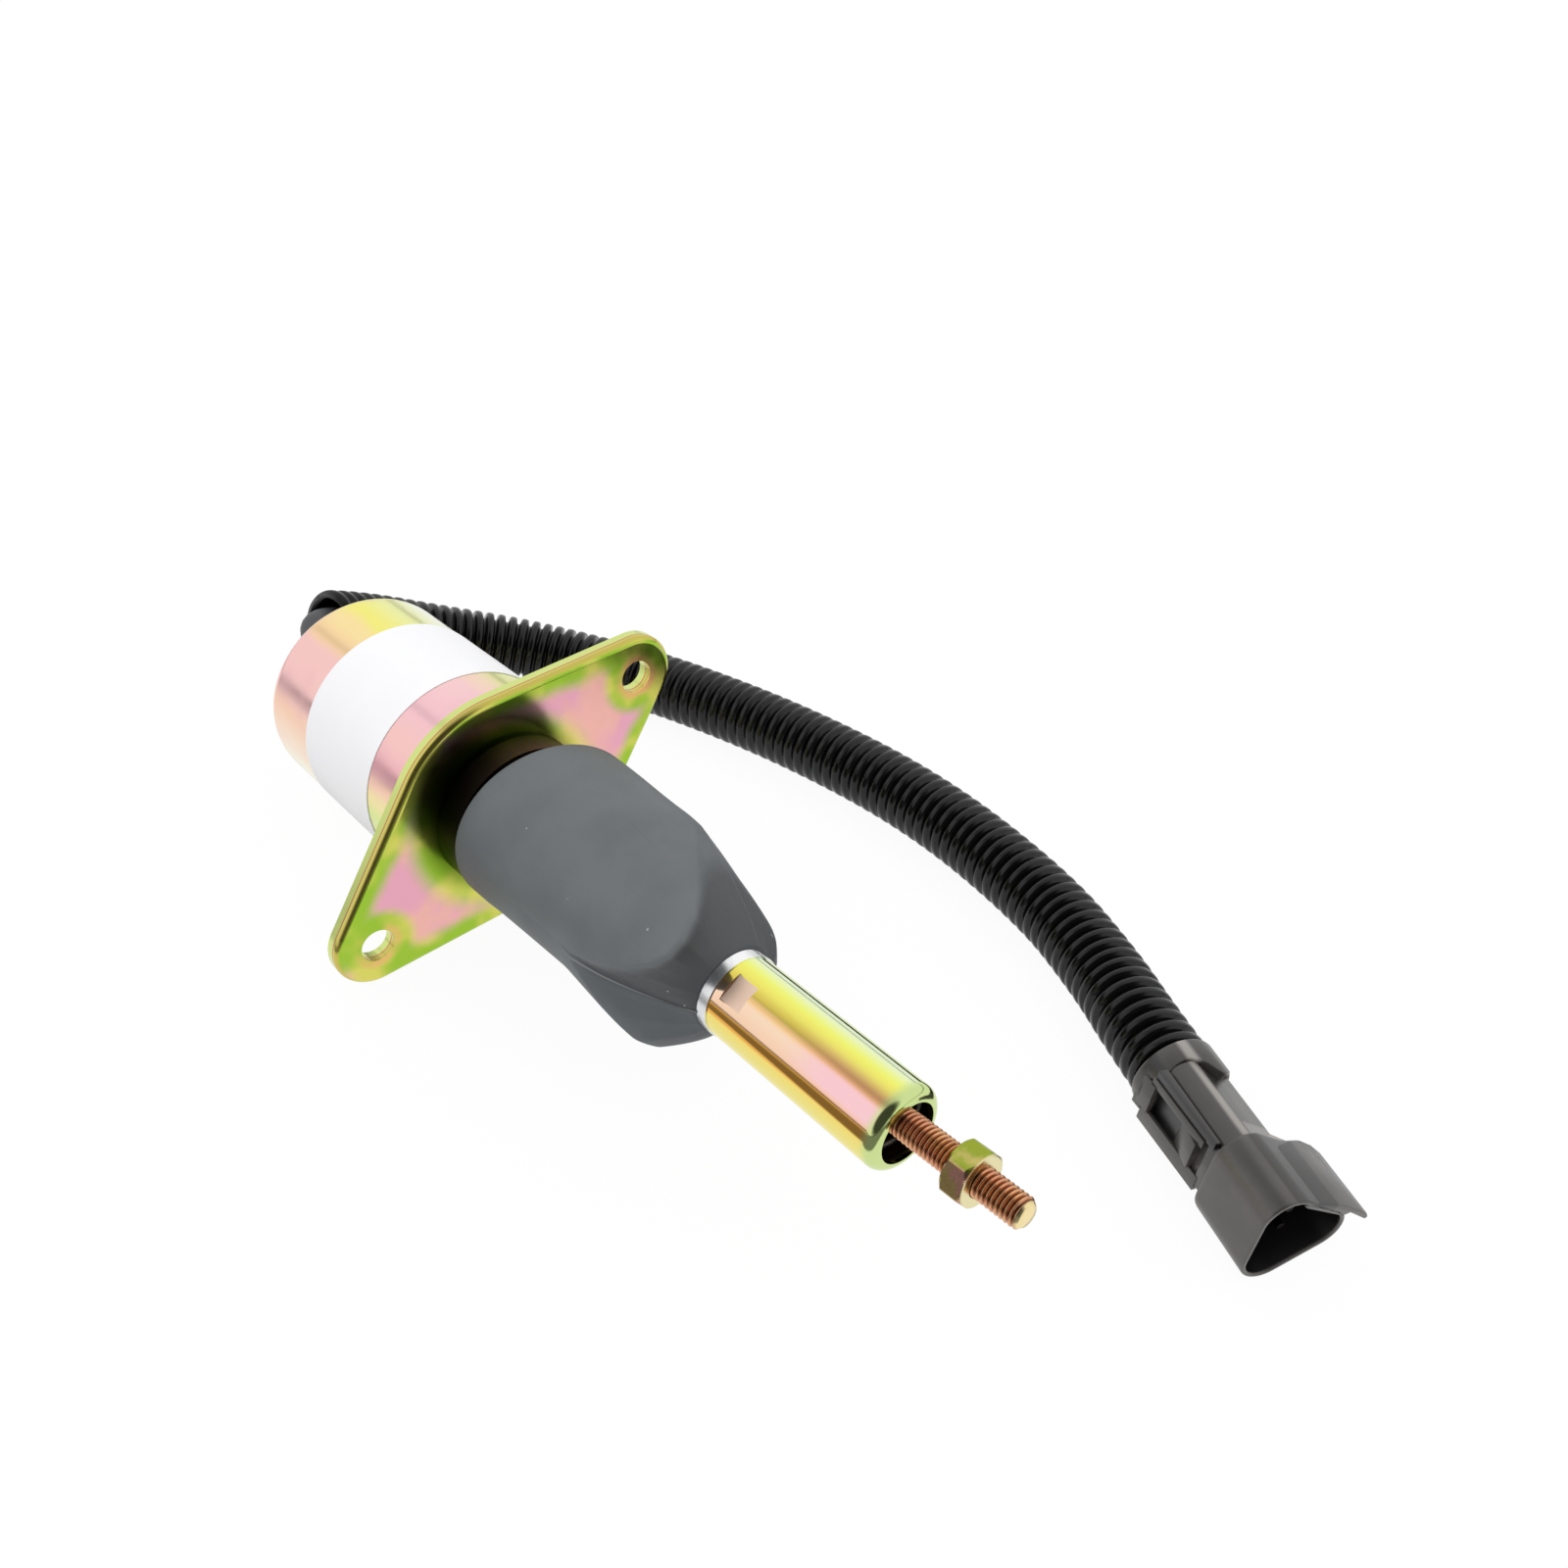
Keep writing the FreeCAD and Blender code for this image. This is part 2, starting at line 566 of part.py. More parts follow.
def make_rod():
    length = "Sizes.rod_length"
    tip = "Sizes.rod_radius - Sizes.rod_chamfer"
    free = "Sizes.nut_distance + Sizes.nut_height + Sizes.rod_head_height / 2"
    body = turned("pull_rod", [
        ("0", "0"), ("Sizes.rod_head_radius", "0"),
        ("Sizes.rod_head_radius", "Sizes.rod_head_height"),
        ("Sizes.rod_shank_radius", "Sizes.rod_head_height"), ("Sizes.rod_shank_radius", free),
        ("Sizes.rod_radius", free), ("Sizes.rod_radius", length + " - Sizes.rod_chamfer"),
        (tip, length), ("0", length)])
    lay_on_rod(keep(body, "pull_rod"), -value("Sizes.rod_head_height / 2"))


def make_nut():
    body = doc.addObject("PartDesign::Body", "jam_nut")
    corner = "Sizes.nut_across / sqrt(3)"
    primitive(body, "AdditivePrism", "nut_hexagon",
              {"Circumradius": corner, "Height": "Sizes.nut_height"}).Polygon = 6
    doc.recompute()
    primitive(body, "SubtractiveCylinder", "nut_thread",
              {"Radius": "Sizes.rod_shank_radius + Sizes.press_gap", "Height": "Sizes.nut_height"})
    drop = "(%s - Sizes.nut_across / 2) * tan(30)" % corner
    flat = "0.97 * Sizes.nut_across / 2"
    for name, low, high in (("lower_chamfer", "0", drop),
                            ("upper_chamfer", "Sizes.nut_height", "Sizes.nut_height - " + drop)):
        outer = "%s + 0.2" % corner
        sketch = polygon_sketch(body, name + "_outline", "XZ_Plane",
                                [(flat, low), (outer, low), (outer, high)])
        groove = body.newObject("PartDesign::Groove", name)
        groove.Profile = sketch
        groove.ReferenceAxis = (sketch, ["V_Axis"])
        groove.Angle = 360
        doc.recompute()
    lay_on_rod(keep(body, "jam_nut"), value("Sizes.nut_distance"), value("Sizes.nut_turn"))


# Boot: a hollow barrel, wider at the rear and a little off the axis, with a blunt front that is
# folded in along three straight creases, so that three rounded lobes are left between them
def boot_ring(radius, station, shift):
    """One round section of the boot, moved off the axis by a share of the boot's offset."""
    angle = math.radians(180.0 - value("Sizes.boot_lean_angle"))
    move = value("Sizes.boot_offset") * shift
    centre = Vector(move * math.cos(angle), move * math.sin(angle), station)
    return Part.Wire(Part.makeCircle(radius, centre))


def boot_solid(inset, rear):
    """The round solid of the boot's outside, or of its hollow at an inset."""
    radius = value("Sizes.boot_radius") - inset
    rings = [
        boot_ring(value("Sizes.boot_rear_radius") - inset, rear, 0.0),
        boot_ring(value("Sizes.boot_shoulder_radius") - inset, value("Sizes.boot_shoulder"), 1.0),
        boot_ring(radius, value("Sizes.boot_taper_end"), 1.0),
        boot_ring(radius, value("Sizes.lobe_end") - inset, 1.0),
        boot_ring(value("Sizes.ring_neck_radius + Sizes.loose_gap + Sizes.boot_wall") - inset,
                  value(BOOT_FRONT) - inset, 0.0),
    ]
    solid = Part.makeLoft(rings, True, True)
    rim = [edge for edge in solid.Edges if circle_at(radius, value("Sizes.lobe_end") - inset)(edge)]
    return solid.makeFillet(value("Sizes.boot_front_round"), rim)


def half_space(spot, normal, reach):
    """A large box on the side of a plane that its normal points to."""
    box = Part.makeBox(reach, reach, reach, Vector(-reach / 2, -reach / 2, 0))
    box.Placement = Placement(spot, Rotation(Vector(0, 0, 1), normal))
    return box


def fold_wedge(turn, spans, inset):
    """The space in front of one fold: a wedge between the two planes that meet in its crease.

    Each plane also runs through a point of the barrel at an angle from the crease.
    """
    radius = value("Sizes.boot_radius")
    ring = value("Sizes.ring_neck_radius + Sizes.loose_gap + Sizes.boot_wall")
    middle = boot_ring(radius, 0, 1.0).Edges[0].Curve.Center

    def spot_at(distance, span, station, centre):
        angle = math.radians(180.0 - turn - span)
        return centre + Vector(distance * math.cos(angle), distance * math.sin(angle), station)

    rear_point = spot_at(radius, 0.0, value("Sizes.fold_start"), middle)
    front_point = spot_at(ring, 0.0, value(BOOT_FRONT), Vector())
    crease = (front_point - rear_point).normalize()
    normals = []
    for span in spans:
        cheek = spot_at(radius, span, value("Sizes.fold_cheek"), middle)
        normal = crease.cross(cheek - rear_point).normalize()
        normals.append(normal if normal.z > 0 else -normal)
    outward = (normals[0] + normals[1]).normalize()
    spot = rear_point - outward * (inset / normals[0].dot(outward))
    sides = [half_space(spot, normal, 20 * radius) for normal in normals]
    return sides[0].common(sides[1])


# Each fold's angle round the axis, from up towards +Y, and how far its two planes reach round
FOLDS = [(-88.0, (23.0, -23.0)), (50.0, (56.0, -44.0)), (163.0, (24.0, -30.0))]


def make_boot():
    rear = value("Sizes.hub_height") + 0.2
    front = value(BOOT_FRONT)
    wall = value("Sizes.boot_wall")
    bore = value("Sizes.ring_neck_radius + Sizes.loose_gap")
    outside = boot_solid(0.0, rear)
    hollow = boot_solid(wall, rear)
    for turn, spans in FOLDS:
        outside = outside.cut(fold_wedge(turn, spans, 0.0))
        hollow = hollow.cut(fold_wedge(turn, spans, wall))
    bead_height = value("Sizes.neck_height") - 2 * 0.2
    rim = boot_ring(value("Sizes.boot_rear_radius") - wall / 2, rear, 0.0)
    bead = Part.Face(rim).extrude(Vector(0, 0, bead_height))
    grip = Part.makeCylinder(value("Sizes.neck_radius") + 0.1, bead_height, Vector(0, 0, rear))
    rim_height = value("Sizes.hub_height + Sizes.neck_height")
    rim_grip = Part.makeCylinder(value("Sizes.rim_radius") + 0.1, value("Sizes.rim_height") + 0.4,
                                 Vector(0, 0, rim_height - 0.2))
    throat = Part.makeCylinder(bore, 3 * wall, Vector(0, 0, front - 2 * wall))
    boot = doc.addObject("Part::Feature", "boot")
    shell = outside.cut(hollow).fuse(bead)
    boot.Shape = shell.cut(grip).cut(rim_grip).cut(throat).removeSplitter()
    lay(keep(boot, "boot"), "0")


# Lead and conduit: straight runs joined by tangent arcs, laid on the bench
def tube_path(route):
    """A wire of straight runs and arcs through a route, and the smallest arc radius."""
    edges = []
    radii = []
    start = route[0]
    for before, corner, after in zip(route, route[1:], route[2:]):
        back = (before - corner)
        ahead = (after - corner)
        shorter = min(back.Length, ahead.Length)
        reach = 0.45 * shorter
        half_turn = (math.pi - back.getAngle(ahead)) / 2
        radii.append(reach / math.tan(half_turn))
        back.normalize()
        ahead.normalize()
        first = corner + back * reach
        last = corner + ahead * reach
        inward = (back + ahead).normalize()
        centre_distance = radii[-1] / math.cos(half_turn)
        middle = corner + inward * (centre_distance - radii[-1])
        edges.append(Part.LineSegment(start, first).toShape())
        edges.append(Part.Arc(first, middle, last).toShape())
        start = last
    edges.append(Part.LineSegment(start, route[-1]).toShape())
    return Part.Wire(edges), radii


def swept(path, radius):
    """A round solid swept along a path."""
    begin = path.Edges[0]
    spot = begin.valueAt(begin.FirstParameter)
    heading = begin.tangentAt(begin.FirstParameter)
    disc = Part.Wire(Part.makeCircle(radius, spot, heading))
    return path.makePipeShell([disc], True, True)


def report_cord(label, path, radii, area, solid):
    print("%s: length %.1f mm, arc radii %s, volume %.1f against section times length %.1f" % (
        label, path.Length, ["%.1f" % radius for radius in radii], solid.Volume, area * path.Length))


# Connector: its own axis is level, turned to one side and rolled so that a flank faces the bench
CONNECTOR_HEADING = -21.7
CONNECTOR_ROLL = 112.0
CONNECTOR_START = Vector(138.7, 65.8, 0)
connector_along = Vector(math.cos(math.radians(CONNECTOR_HEADING)),
                         math.sin(math.radians(CONNECTOR_HEADING)), 0)
connector_left = Vector(-connector_along.y, connector_along.x, 0)
lowest = 0.0
for corner_index in range(3):
    corner_angle = math.radians(CONNECTOR_ROLL + 120.0 * corner_index)
    centre_reach = value("Sizes.shell_spread")
    lowest = min(lowest, centre_reach * math.sin(corner_angle) - value("Sizes.shell_corner"))
connector_origin = CONNECTOR_START + Vector(0, 0, bench - lowest)
roll = math.radians(CONNECTOR_ROLL)
connector_top = connector_left * math.cos(roll) + Vector(0, 0, 1) * math.sin(roll)
connector_rotation = Rotation(connector_top, connector_along.cross(connector_top), connector_along, "ZXY")


def lay_on_connector(feature, distance):
    """Puts a piece on the connector's axis at a distance from the rear of its collar."""
    feature.Placement = Placement(connector_origin + connector_along * distance, connector_rotation)


conduit_height = bench + value("Sizes.conduit_radius")
connector_height = connector_origin.z
lead_exit = along * value(CAN_REAR) + above * value("Sizes.lead_up") + beside * value("Sizes.lead_side")
CONDUIT_END = 3.4
LEAD_END = 2.0

# Route points that the lead and the conduit share, from behind the can to the connector
SHARED_ROUTE = [
    Vector(-88.0, 12.0, 1.8),
    Vector(-86.5, 30.0, -8.0),
    Vector(-76.5, 48.5, -15.0),
    Vector(-60.0, 63.5, -19.4),
    Vector(-38.0, 74.3, conduit_height),
    Vector(2.0, 85.4, conduit_height),
    Vector(45.0, 91.1, conduit_height),
    Vector(87.0, 86.9, conduit_height),
    Vector(112.0, 78.4, conduit_height + 0.2),
    connector_origin - connector_along * 12.0,
]


def make_lead():
    rear_turn = Vector(-84.5, -0.5, 8.5)
    inner_end = lead_exit + along * value("Sizes.can_wall + 2.0")
    first_turn = lead_exit - along * 6.2
    lead_route = [inner_end, first_turn, rear_turn] + SHARED_ROUTE
    lead_route.append(connector_origin + connector_along * LEAD_END)
    path, radii = tube_path(lead_route)
    lead = doc.addObject("Part::Feature", "lead_sheath")
    lead.Shape = swept(path, value("Sizes.lead_radius"))
    keep(lead, "lead_sheath")
    report_cord("lead_sheath", path, radii, math.pi * value("Sizes.lead_radius") ** 2, lead.Shape)

    onward = (SHARED_ROUTE[0] - rear_turn).normalize()
    conduit_route = [rear_turn + onward * 4.0] + SHARED_ROUTE
    conduit_route.append(connector_origin + connector_along * CONDUIT_END)
    path, radii = tube_path(conduit_route)
    outer = swept(path, value("Sizes.conduit_radius"))
    inner = swept(path, value("Sizes.conduit_bore"))
    conduit = doc.addObject("Part::Feature", "conduit")
    conduit.Shape = outer.cut(inner)
    keep(conduit, "conduit")
    ring = math.pi * (value("Sizes.conduit_radius") ** 2 - value("Sizes.conduit_bore") ** 2)
    report_cord("conduit", path, radii, ring, conduit.Shape)


def make_grommet():
    bore = "Sizes.lead_radius + Sizes.press_gap"
    heights = ["1.6", "1.6 + Sizes.can_wall", "2.8 + Sizes.can_wall"]
    body = turned("lead_grommet", [
        (bore, "0"), ("Sizes.grommet_flange", "0"), ("Sizes.grommet_flange", heights[0]),
        ("Sizes.grommet_waist", heights[0]), ("Sizes.grommet_waist", heights[1]),
        ("Sizes.grommet_flange", heights[1]), ("Sizes.grommet_flange", heights[2]),
        (bore, heights[2])])
    keep(body, "lead_grommet")
    body.Placement = Placement(lead_exit - along * 1.6, axis_rotation)


def three_rods(label, radius, height, spread, distance):
    """Three parallel round pieces about the connector's axis, kept as one group."""
    members = []
    for index in range(3):
        member = doc.addObject("Part::Cylinder", "%s_%d" % (label, index + 1))
        member.setExpression("Radius", radius)
        member.setExpression("Height", height)
        member.setExpression("Placement.Base.x", "%s * cos(%d)" % (spread, 60 + 120 * index))
        member.setExpression("Placement.Base.y", "%s * sin(%d)" % (spread, 60 + 120 * index))
        members.append(member)
    group = doc.addObject("Part::Compound", label)
    group.Links = members
    doc.recompute()
    lay_on_connector(keep(group, label), distance)


# Connector body: a rounded three-sided carrier that widens into a thin socket, with a raised
# catch on one flank and a ramp on each flank that the collar's arms snap over
def make_connector_body():
    body = doc.addObject("PartDesign::Body", "connector_body")
    rear = "Sizes.carrier_length"
    length = "Sizes.carrier_length + Sizes.shell_length"
    carrier = corner_sketch(body, "carrier_outline", "Sizes.carrier_spread", "Sizes.carrier_corner")
    padded(body, "carrier", carrier, "Sizes.carrier_length + 1")
    shell = corner_sketch(body, "shell_outline", "Sizes.shell_spread", "Sizes.shell_corner",
                          Placement(Vector(0, 0, value(rear)), Rotation()))
    padded(body, "shell", shell, "Sizes.shell_length")
    wing = [("8.2", "5.4"), ("9.4", "-4.3"), ("10.5", "-12.9"), ("9.2", "-13.8"), ("8.5", "-8.6"),
            ("7.9", "-6.6"), ("7.9", "3.0")]
    catch_offset = Placement(Vector(0, 0, value(rear) + 1.5), Rotation(Vector(0, 0, 1), -60))
    catch = polygon_sketch(body, "catch_outline", "XY_Plane", wing, catch_offset)
    padded(body, "catch", catch, "Sizes.shell_length - 1.5")
    for name, heading in (("left_ramp", 60), ("lower_ramp", 180)):
        low = FLANK + " - 0.4"
        high = FLANK + " + Sizes.arm_thickness"
        outline = [(low, "Sizes.window_start - Sizes.collar_length + 1.5"),
                   (high, "Sizes.window_end - Sizes.collar_length - 0.3"),
                   (low, "Sizes.window_end - Sizes.collar_length - 0.3")]
        offset = Placement(Vector(), Rotation(Vector(0, 1, 0), heading))
        ramp = polygon_sketch(body, name + "_outline", "XZ_Plane", outline, offset)
        padded(body, name, ramp, "Sizes.window_width - 0.8", True)
    mouth = corner_sketch(body, "socket_outline", "Sizes.shell_spread",
                          "Sizes.shell_corner - Sizes.shell_wall",
                          Placement(Vector(0, 0, value(length)), Rotation()))
    socket = body.newObject("PartDesign::Pocket", "socket")
    socket.Profile = mouth
    socket.setExpression("Length", "Sizes.socket_depth")
    doc.recompute()
    primitive(body, "SubtractiveCylinder", "seal_bore",
              {"Radius": "Sizes.seal_bore", "Height": "Sizes.seal_length + 1"}, ("0", "0", "-1"))
    for index in range(3):
        turn = 60 + 120 * index
        primitive(body, "SubtractiveCylinder", "pin_bore_%d" % (index + 1),
                  {"Radius": "Sizes.pin_radius + Sizes.press_gap", "Height": length},
                  ("Sizes.pin_spread * cos(%d)" % turn, "Sizes.pin_spread * sin(%d)" % turn, "0"))
    lay_on_connector(keep(body, "connector_body"), value("Sizes.collar_length"))


def make_connector_insides():
    length = value("Sizes.collar_length + Sizes.carrier_length + Sizes.shell_length")
    floor = length - value("Sizes.socket_depth")
    wedge = doc.addObject("PartDesign::Body", "wedge_lock")
    plate = corner_sketch(wedge, "wedge_outline", "Sizes.wedge_spread", "Sizes.wedge_corner")
    padded(wedge, "wedge", plate, "Sizes.wedge_height")
    for index in range(3):
        turn = 60 + 120 * index
        primitive(wedge, "SubtractiveCylinder", "wedge_hole_%d" % (index + 1),
                  {"Radius": "Sizes.pin_radius + Sizes.running_gap", "Height": "Sizes.wedge_height"},
                  ("Sizes.pin_spread * cos(%d)" % turn, "Sizes.pin_spread * sin(%d)" % turn, "0"))
    lay_on_connector(keep(wedge, "wedge_lock"), floor)

    seal = doc.addObject("PartDesign::Body", "wire_seal")
    primitive(seal, "AdditiveCylinder", "seal_plug",
              {"Radius": "Sizes.seal_bore - Sizes.press_gap", "Height": "Sizes.seal_length - 0.4"})
    for index in range(3):
        turn = 60 + 120 * index
        primitive(seal, "SubtractiveCylinder", "seal_hole_%d" % (index + 1),
                  {"Radius": "Sizes.wire_radius + Sizes.press_gap", "Height": "Sizes.seal_length"},
                  ("Sizes.pin_spread * cos(%d)" % turn, "Sizes.pin_spread * sin(%d)" % turn, "0"))
    lay_on_connector(keep(seal, "wire_seal"), value("Sizes.collar_length") + 0.2)

    three_rods("lead_wires", "Sizes.wire_radius",
               "Sizes.collar_length + Sizes.seal_length - %s - 0.3" % (LEAD_END + 0.2),
               "Sizes.pin_spread", LEAD_END + 0.2)
    pins_rear = value("Sizes.collar_length + Sizes.seal_length")
    three_rods("contact_pins", "Sizes.pin_radius", "%s - %s + Sizes.pin_reach" % (floor, pins_rear),
               "Sizes.pin_spread", pins_rear)


# Collar: it grips the conduit, and its two arms run along the carrier's flanks
def make_collar():
    body = doc.addObject("PartDesign::Body", "connector_collar")
    primitive(body, "AdditiveCylinder", "collar_barrel",
              {"Radius": "Sizes.collar_radius", "Height": "Sizes.collar_length"})
    rounded(body, "collar_rear_edge", "0.9", circle_at(value("Sizes.collar_radius"), 0))
    for name, heading in (("left_arm", 60), ("lower_arm", 180)):
        near = FLANK + " + 0.05"
        outline = [(near, "-Sizes.arm_width / 2"),
                   (near + " + Sizes.arm_thickness", "-Sizes.arm_width / 2"),
                   (near + " + Sizes.arm_thickness", "Sizes.arm_width / 2"),
                   (near, "Sizes.arm_width / 2")]
        offset = Placement(Vector(0, 0, 1), Rotation(Vector(0, 0, 1), heading))
        arm = polygon_sketch(body, name + "_outline", "XY_Plane", outline, offset)
        padded(body, name, arm, "Sizes.arm_length - 1")
        window = polygon_sketch(body, name + "_window_outline", "XY_Plane", [
            (FLANK + " - 1", "-Sizes.window_width / 2"),
            ("Sizes.collar_radius", "-Sizes.window_width / 2"),
            ("Sizes.collar_radius", "Sizes.window_width / 2"),
            (FLANK + " - 1", "Sizes.window_width / 2")],
            Placement(Vector(0, 0, value("Sizes.window_start")), Rotation(Vector(0, 0, 1), heading)))
        cut = body.newObject("PartDesign::Pocket", name + "_window")
        cut.Profile = window
        cut.Reversed = True
        cut.setExpression("Length", "Sizes.window_end - Sizes.window_start")
        doc.recompute()
    primitive(body, "SubtractiveCylinder", "conduit_seat",
              {"Radius": "Sizes.conduit_radius + Sizes.running_gap", "Height": "Sizes.collar_grip + 1"},
              ("0", "0", "-1"))
    primitive(body, "SubtractiveCylinder", "wire_way",
              {"Radius": "6.6", "Height": "Sizes.collar_length"})
    lay_on_connector(keep(body, "connector_collar"), 0.0)


make_can()
make_label()
ear_places = make_flange()
make_pole_plate()
make_magnet()
make_plunger()
make_neck_ring()
make_spring("return_spring", "Sizes.return_coil_radius", "Sizes.return_wire", "Sizes.return_turns",
            HUB_FRONT, "Sizes.seat_station")
make_boot()
make_sleeve()
make_spring("override_spring", "Sizes.override_coil_radius", "Sizes.override_wire",
            "Sizes.override_turns", "(%s + 0.5)" % HEAD_FRONT, CHAMBER_FRONT)
make_rod()
make_nut()
make_grommet()
make_lead()
make_collar()
make_connector_body()
make_connector_insides()
doc.recompute()

# Every feature has to be sound before anything is written
for feature in doc.Objects:
    if "Invalid" in feature.State or "Error" in feature.State:
        raise RuntimeError("failed feature: " + feature.Name)
for feature in nodes:
    if feature.Shape.isNull() or not feature.Shape.isValid() or not feature.Shape.Solids:
        raise RuntimeError("unsound shape: " + feature.Label)

os.makedirs("parts", exist_ok=True)
for feature in nodes:
    feature.Shape.exportStep(os.path.join("parts", feature.Label + ".step"))

print("tilt %.4f degrees, bench at %.3f mm, %d nodes" % (tilt, bench, len(nodes)))
print("axis along", along, "rod along", rod_along)
for ear in ear_places:
    spot = axis_rotation.multVec(ear)
    print("ear hole centre on the mounting face", spot)
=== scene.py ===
import bpy
import math
import numpy as np
from mathutils import Matrix, Vector


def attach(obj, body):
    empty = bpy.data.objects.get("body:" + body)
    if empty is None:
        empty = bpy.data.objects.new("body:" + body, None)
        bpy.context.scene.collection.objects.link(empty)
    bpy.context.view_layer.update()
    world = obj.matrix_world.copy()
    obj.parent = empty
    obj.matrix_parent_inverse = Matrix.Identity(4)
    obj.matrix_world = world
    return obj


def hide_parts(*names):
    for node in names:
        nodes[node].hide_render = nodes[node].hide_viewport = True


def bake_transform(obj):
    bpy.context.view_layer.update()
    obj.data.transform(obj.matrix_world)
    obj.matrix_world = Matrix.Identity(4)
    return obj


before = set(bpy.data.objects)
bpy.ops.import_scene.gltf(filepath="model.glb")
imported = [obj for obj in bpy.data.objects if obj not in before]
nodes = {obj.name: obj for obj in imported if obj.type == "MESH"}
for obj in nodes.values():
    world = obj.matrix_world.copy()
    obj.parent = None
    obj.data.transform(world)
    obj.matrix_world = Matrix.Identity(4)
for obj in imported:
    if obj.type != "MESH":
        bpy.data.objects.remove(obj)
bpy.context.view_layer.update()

MM = 0.001
scene = bpy.context.scene

# The solenoid's axis, the direction above it, and the axis of the pull rod
ALONG = Vector((0.9986434773, 0.0, 0.0520692349))
ABOVE = Vector((-0.0520692349, 0.0, 0.9986434773))
BESIDE = Vector((0.0, 1.0, 0.0))
ROD_ALONG = Vector((0.993990228, 0.0, 0.109468846))
ROD_ABOVE = Vector((-0.109468846, 0.0, 0.993990228))
ROD_PIVOT = ALONG * 93.4
BENCH = -28.8693


def make_camera():
    """The camera, at the photograph's viewing angle."""
    data = bpy.data.cameras.new("camera")
    data.sensor_width = 36.0
    data.lens = 32.625
    data.clip_start = 0.01
    data.clip_end = 20.0
    camera = bpy.data.objects.new("camera", data)
    right = Vector((0.65642552, 0.75439084, 0.0))
    up = Vector((-0.47022495, 0.40916147, 0.78196892))
    back = right.cross(up)
    turn = Matrix((right, up, back)).transposed().to_4x4()
    camera.matrix_world = Matrix.Translation(Vector((229.122, -116.898, 205.889)) * MM) @ turn
    scene.collection.objects.link(camera)
    scene.camera = camera


make_camera()


# The connector's place: its axis, its top corner and its side
CONNECTOR_HEADING = math.radians(-21.7)
CONNECTOR_ALONG = Vector((math.cos(CONNECTOR_HEADING), math.sin(CONNECTOR_HEADING), 0.0))
CONNECTOR_ORIGIN = Vector((138.7, 65.8, BENCH + 10.39))
CONNECTOR_LEFT = Vector((-math.sin(CONNECTOR_HEADING), math.cos(CONNECTOR_HEADING), 0.0))
CONNECTOR_ROLL = 112.0
CONNECTOR_TOP = (CONNECTOR_LEFT * math.cos(math.radians(CONNECTOR_ROLL))
                 + Vector((0.0, 0.0, 1.0)) * math.sin(math.radians(CONNECTOR_ROLL)))
CONNECTOR_SIDE = CONNECTOR_ALONG.cross(CONNECTOR_TOP)


def connector_point(ahead, x, y):
    """A place ahead of the collar's rear, x towards the top corner and y to its side."""
    return CONNECTOR_ORIGIN + CONNECTOR_ALONG * ahead + CONNECTOR_TOP * x + CONNECTOR_SIDE * y


def flank_point(ahead, out, over, heading):
    """A place given by its distance out from the axis towards a flank, and over that flank."""
    turn = math.radians(heading)
    return connector_point(ahead, out * math.cos(turn) - over * math.sin(turn),
                           out * math.sin(turn) + over * math.cos(turn))


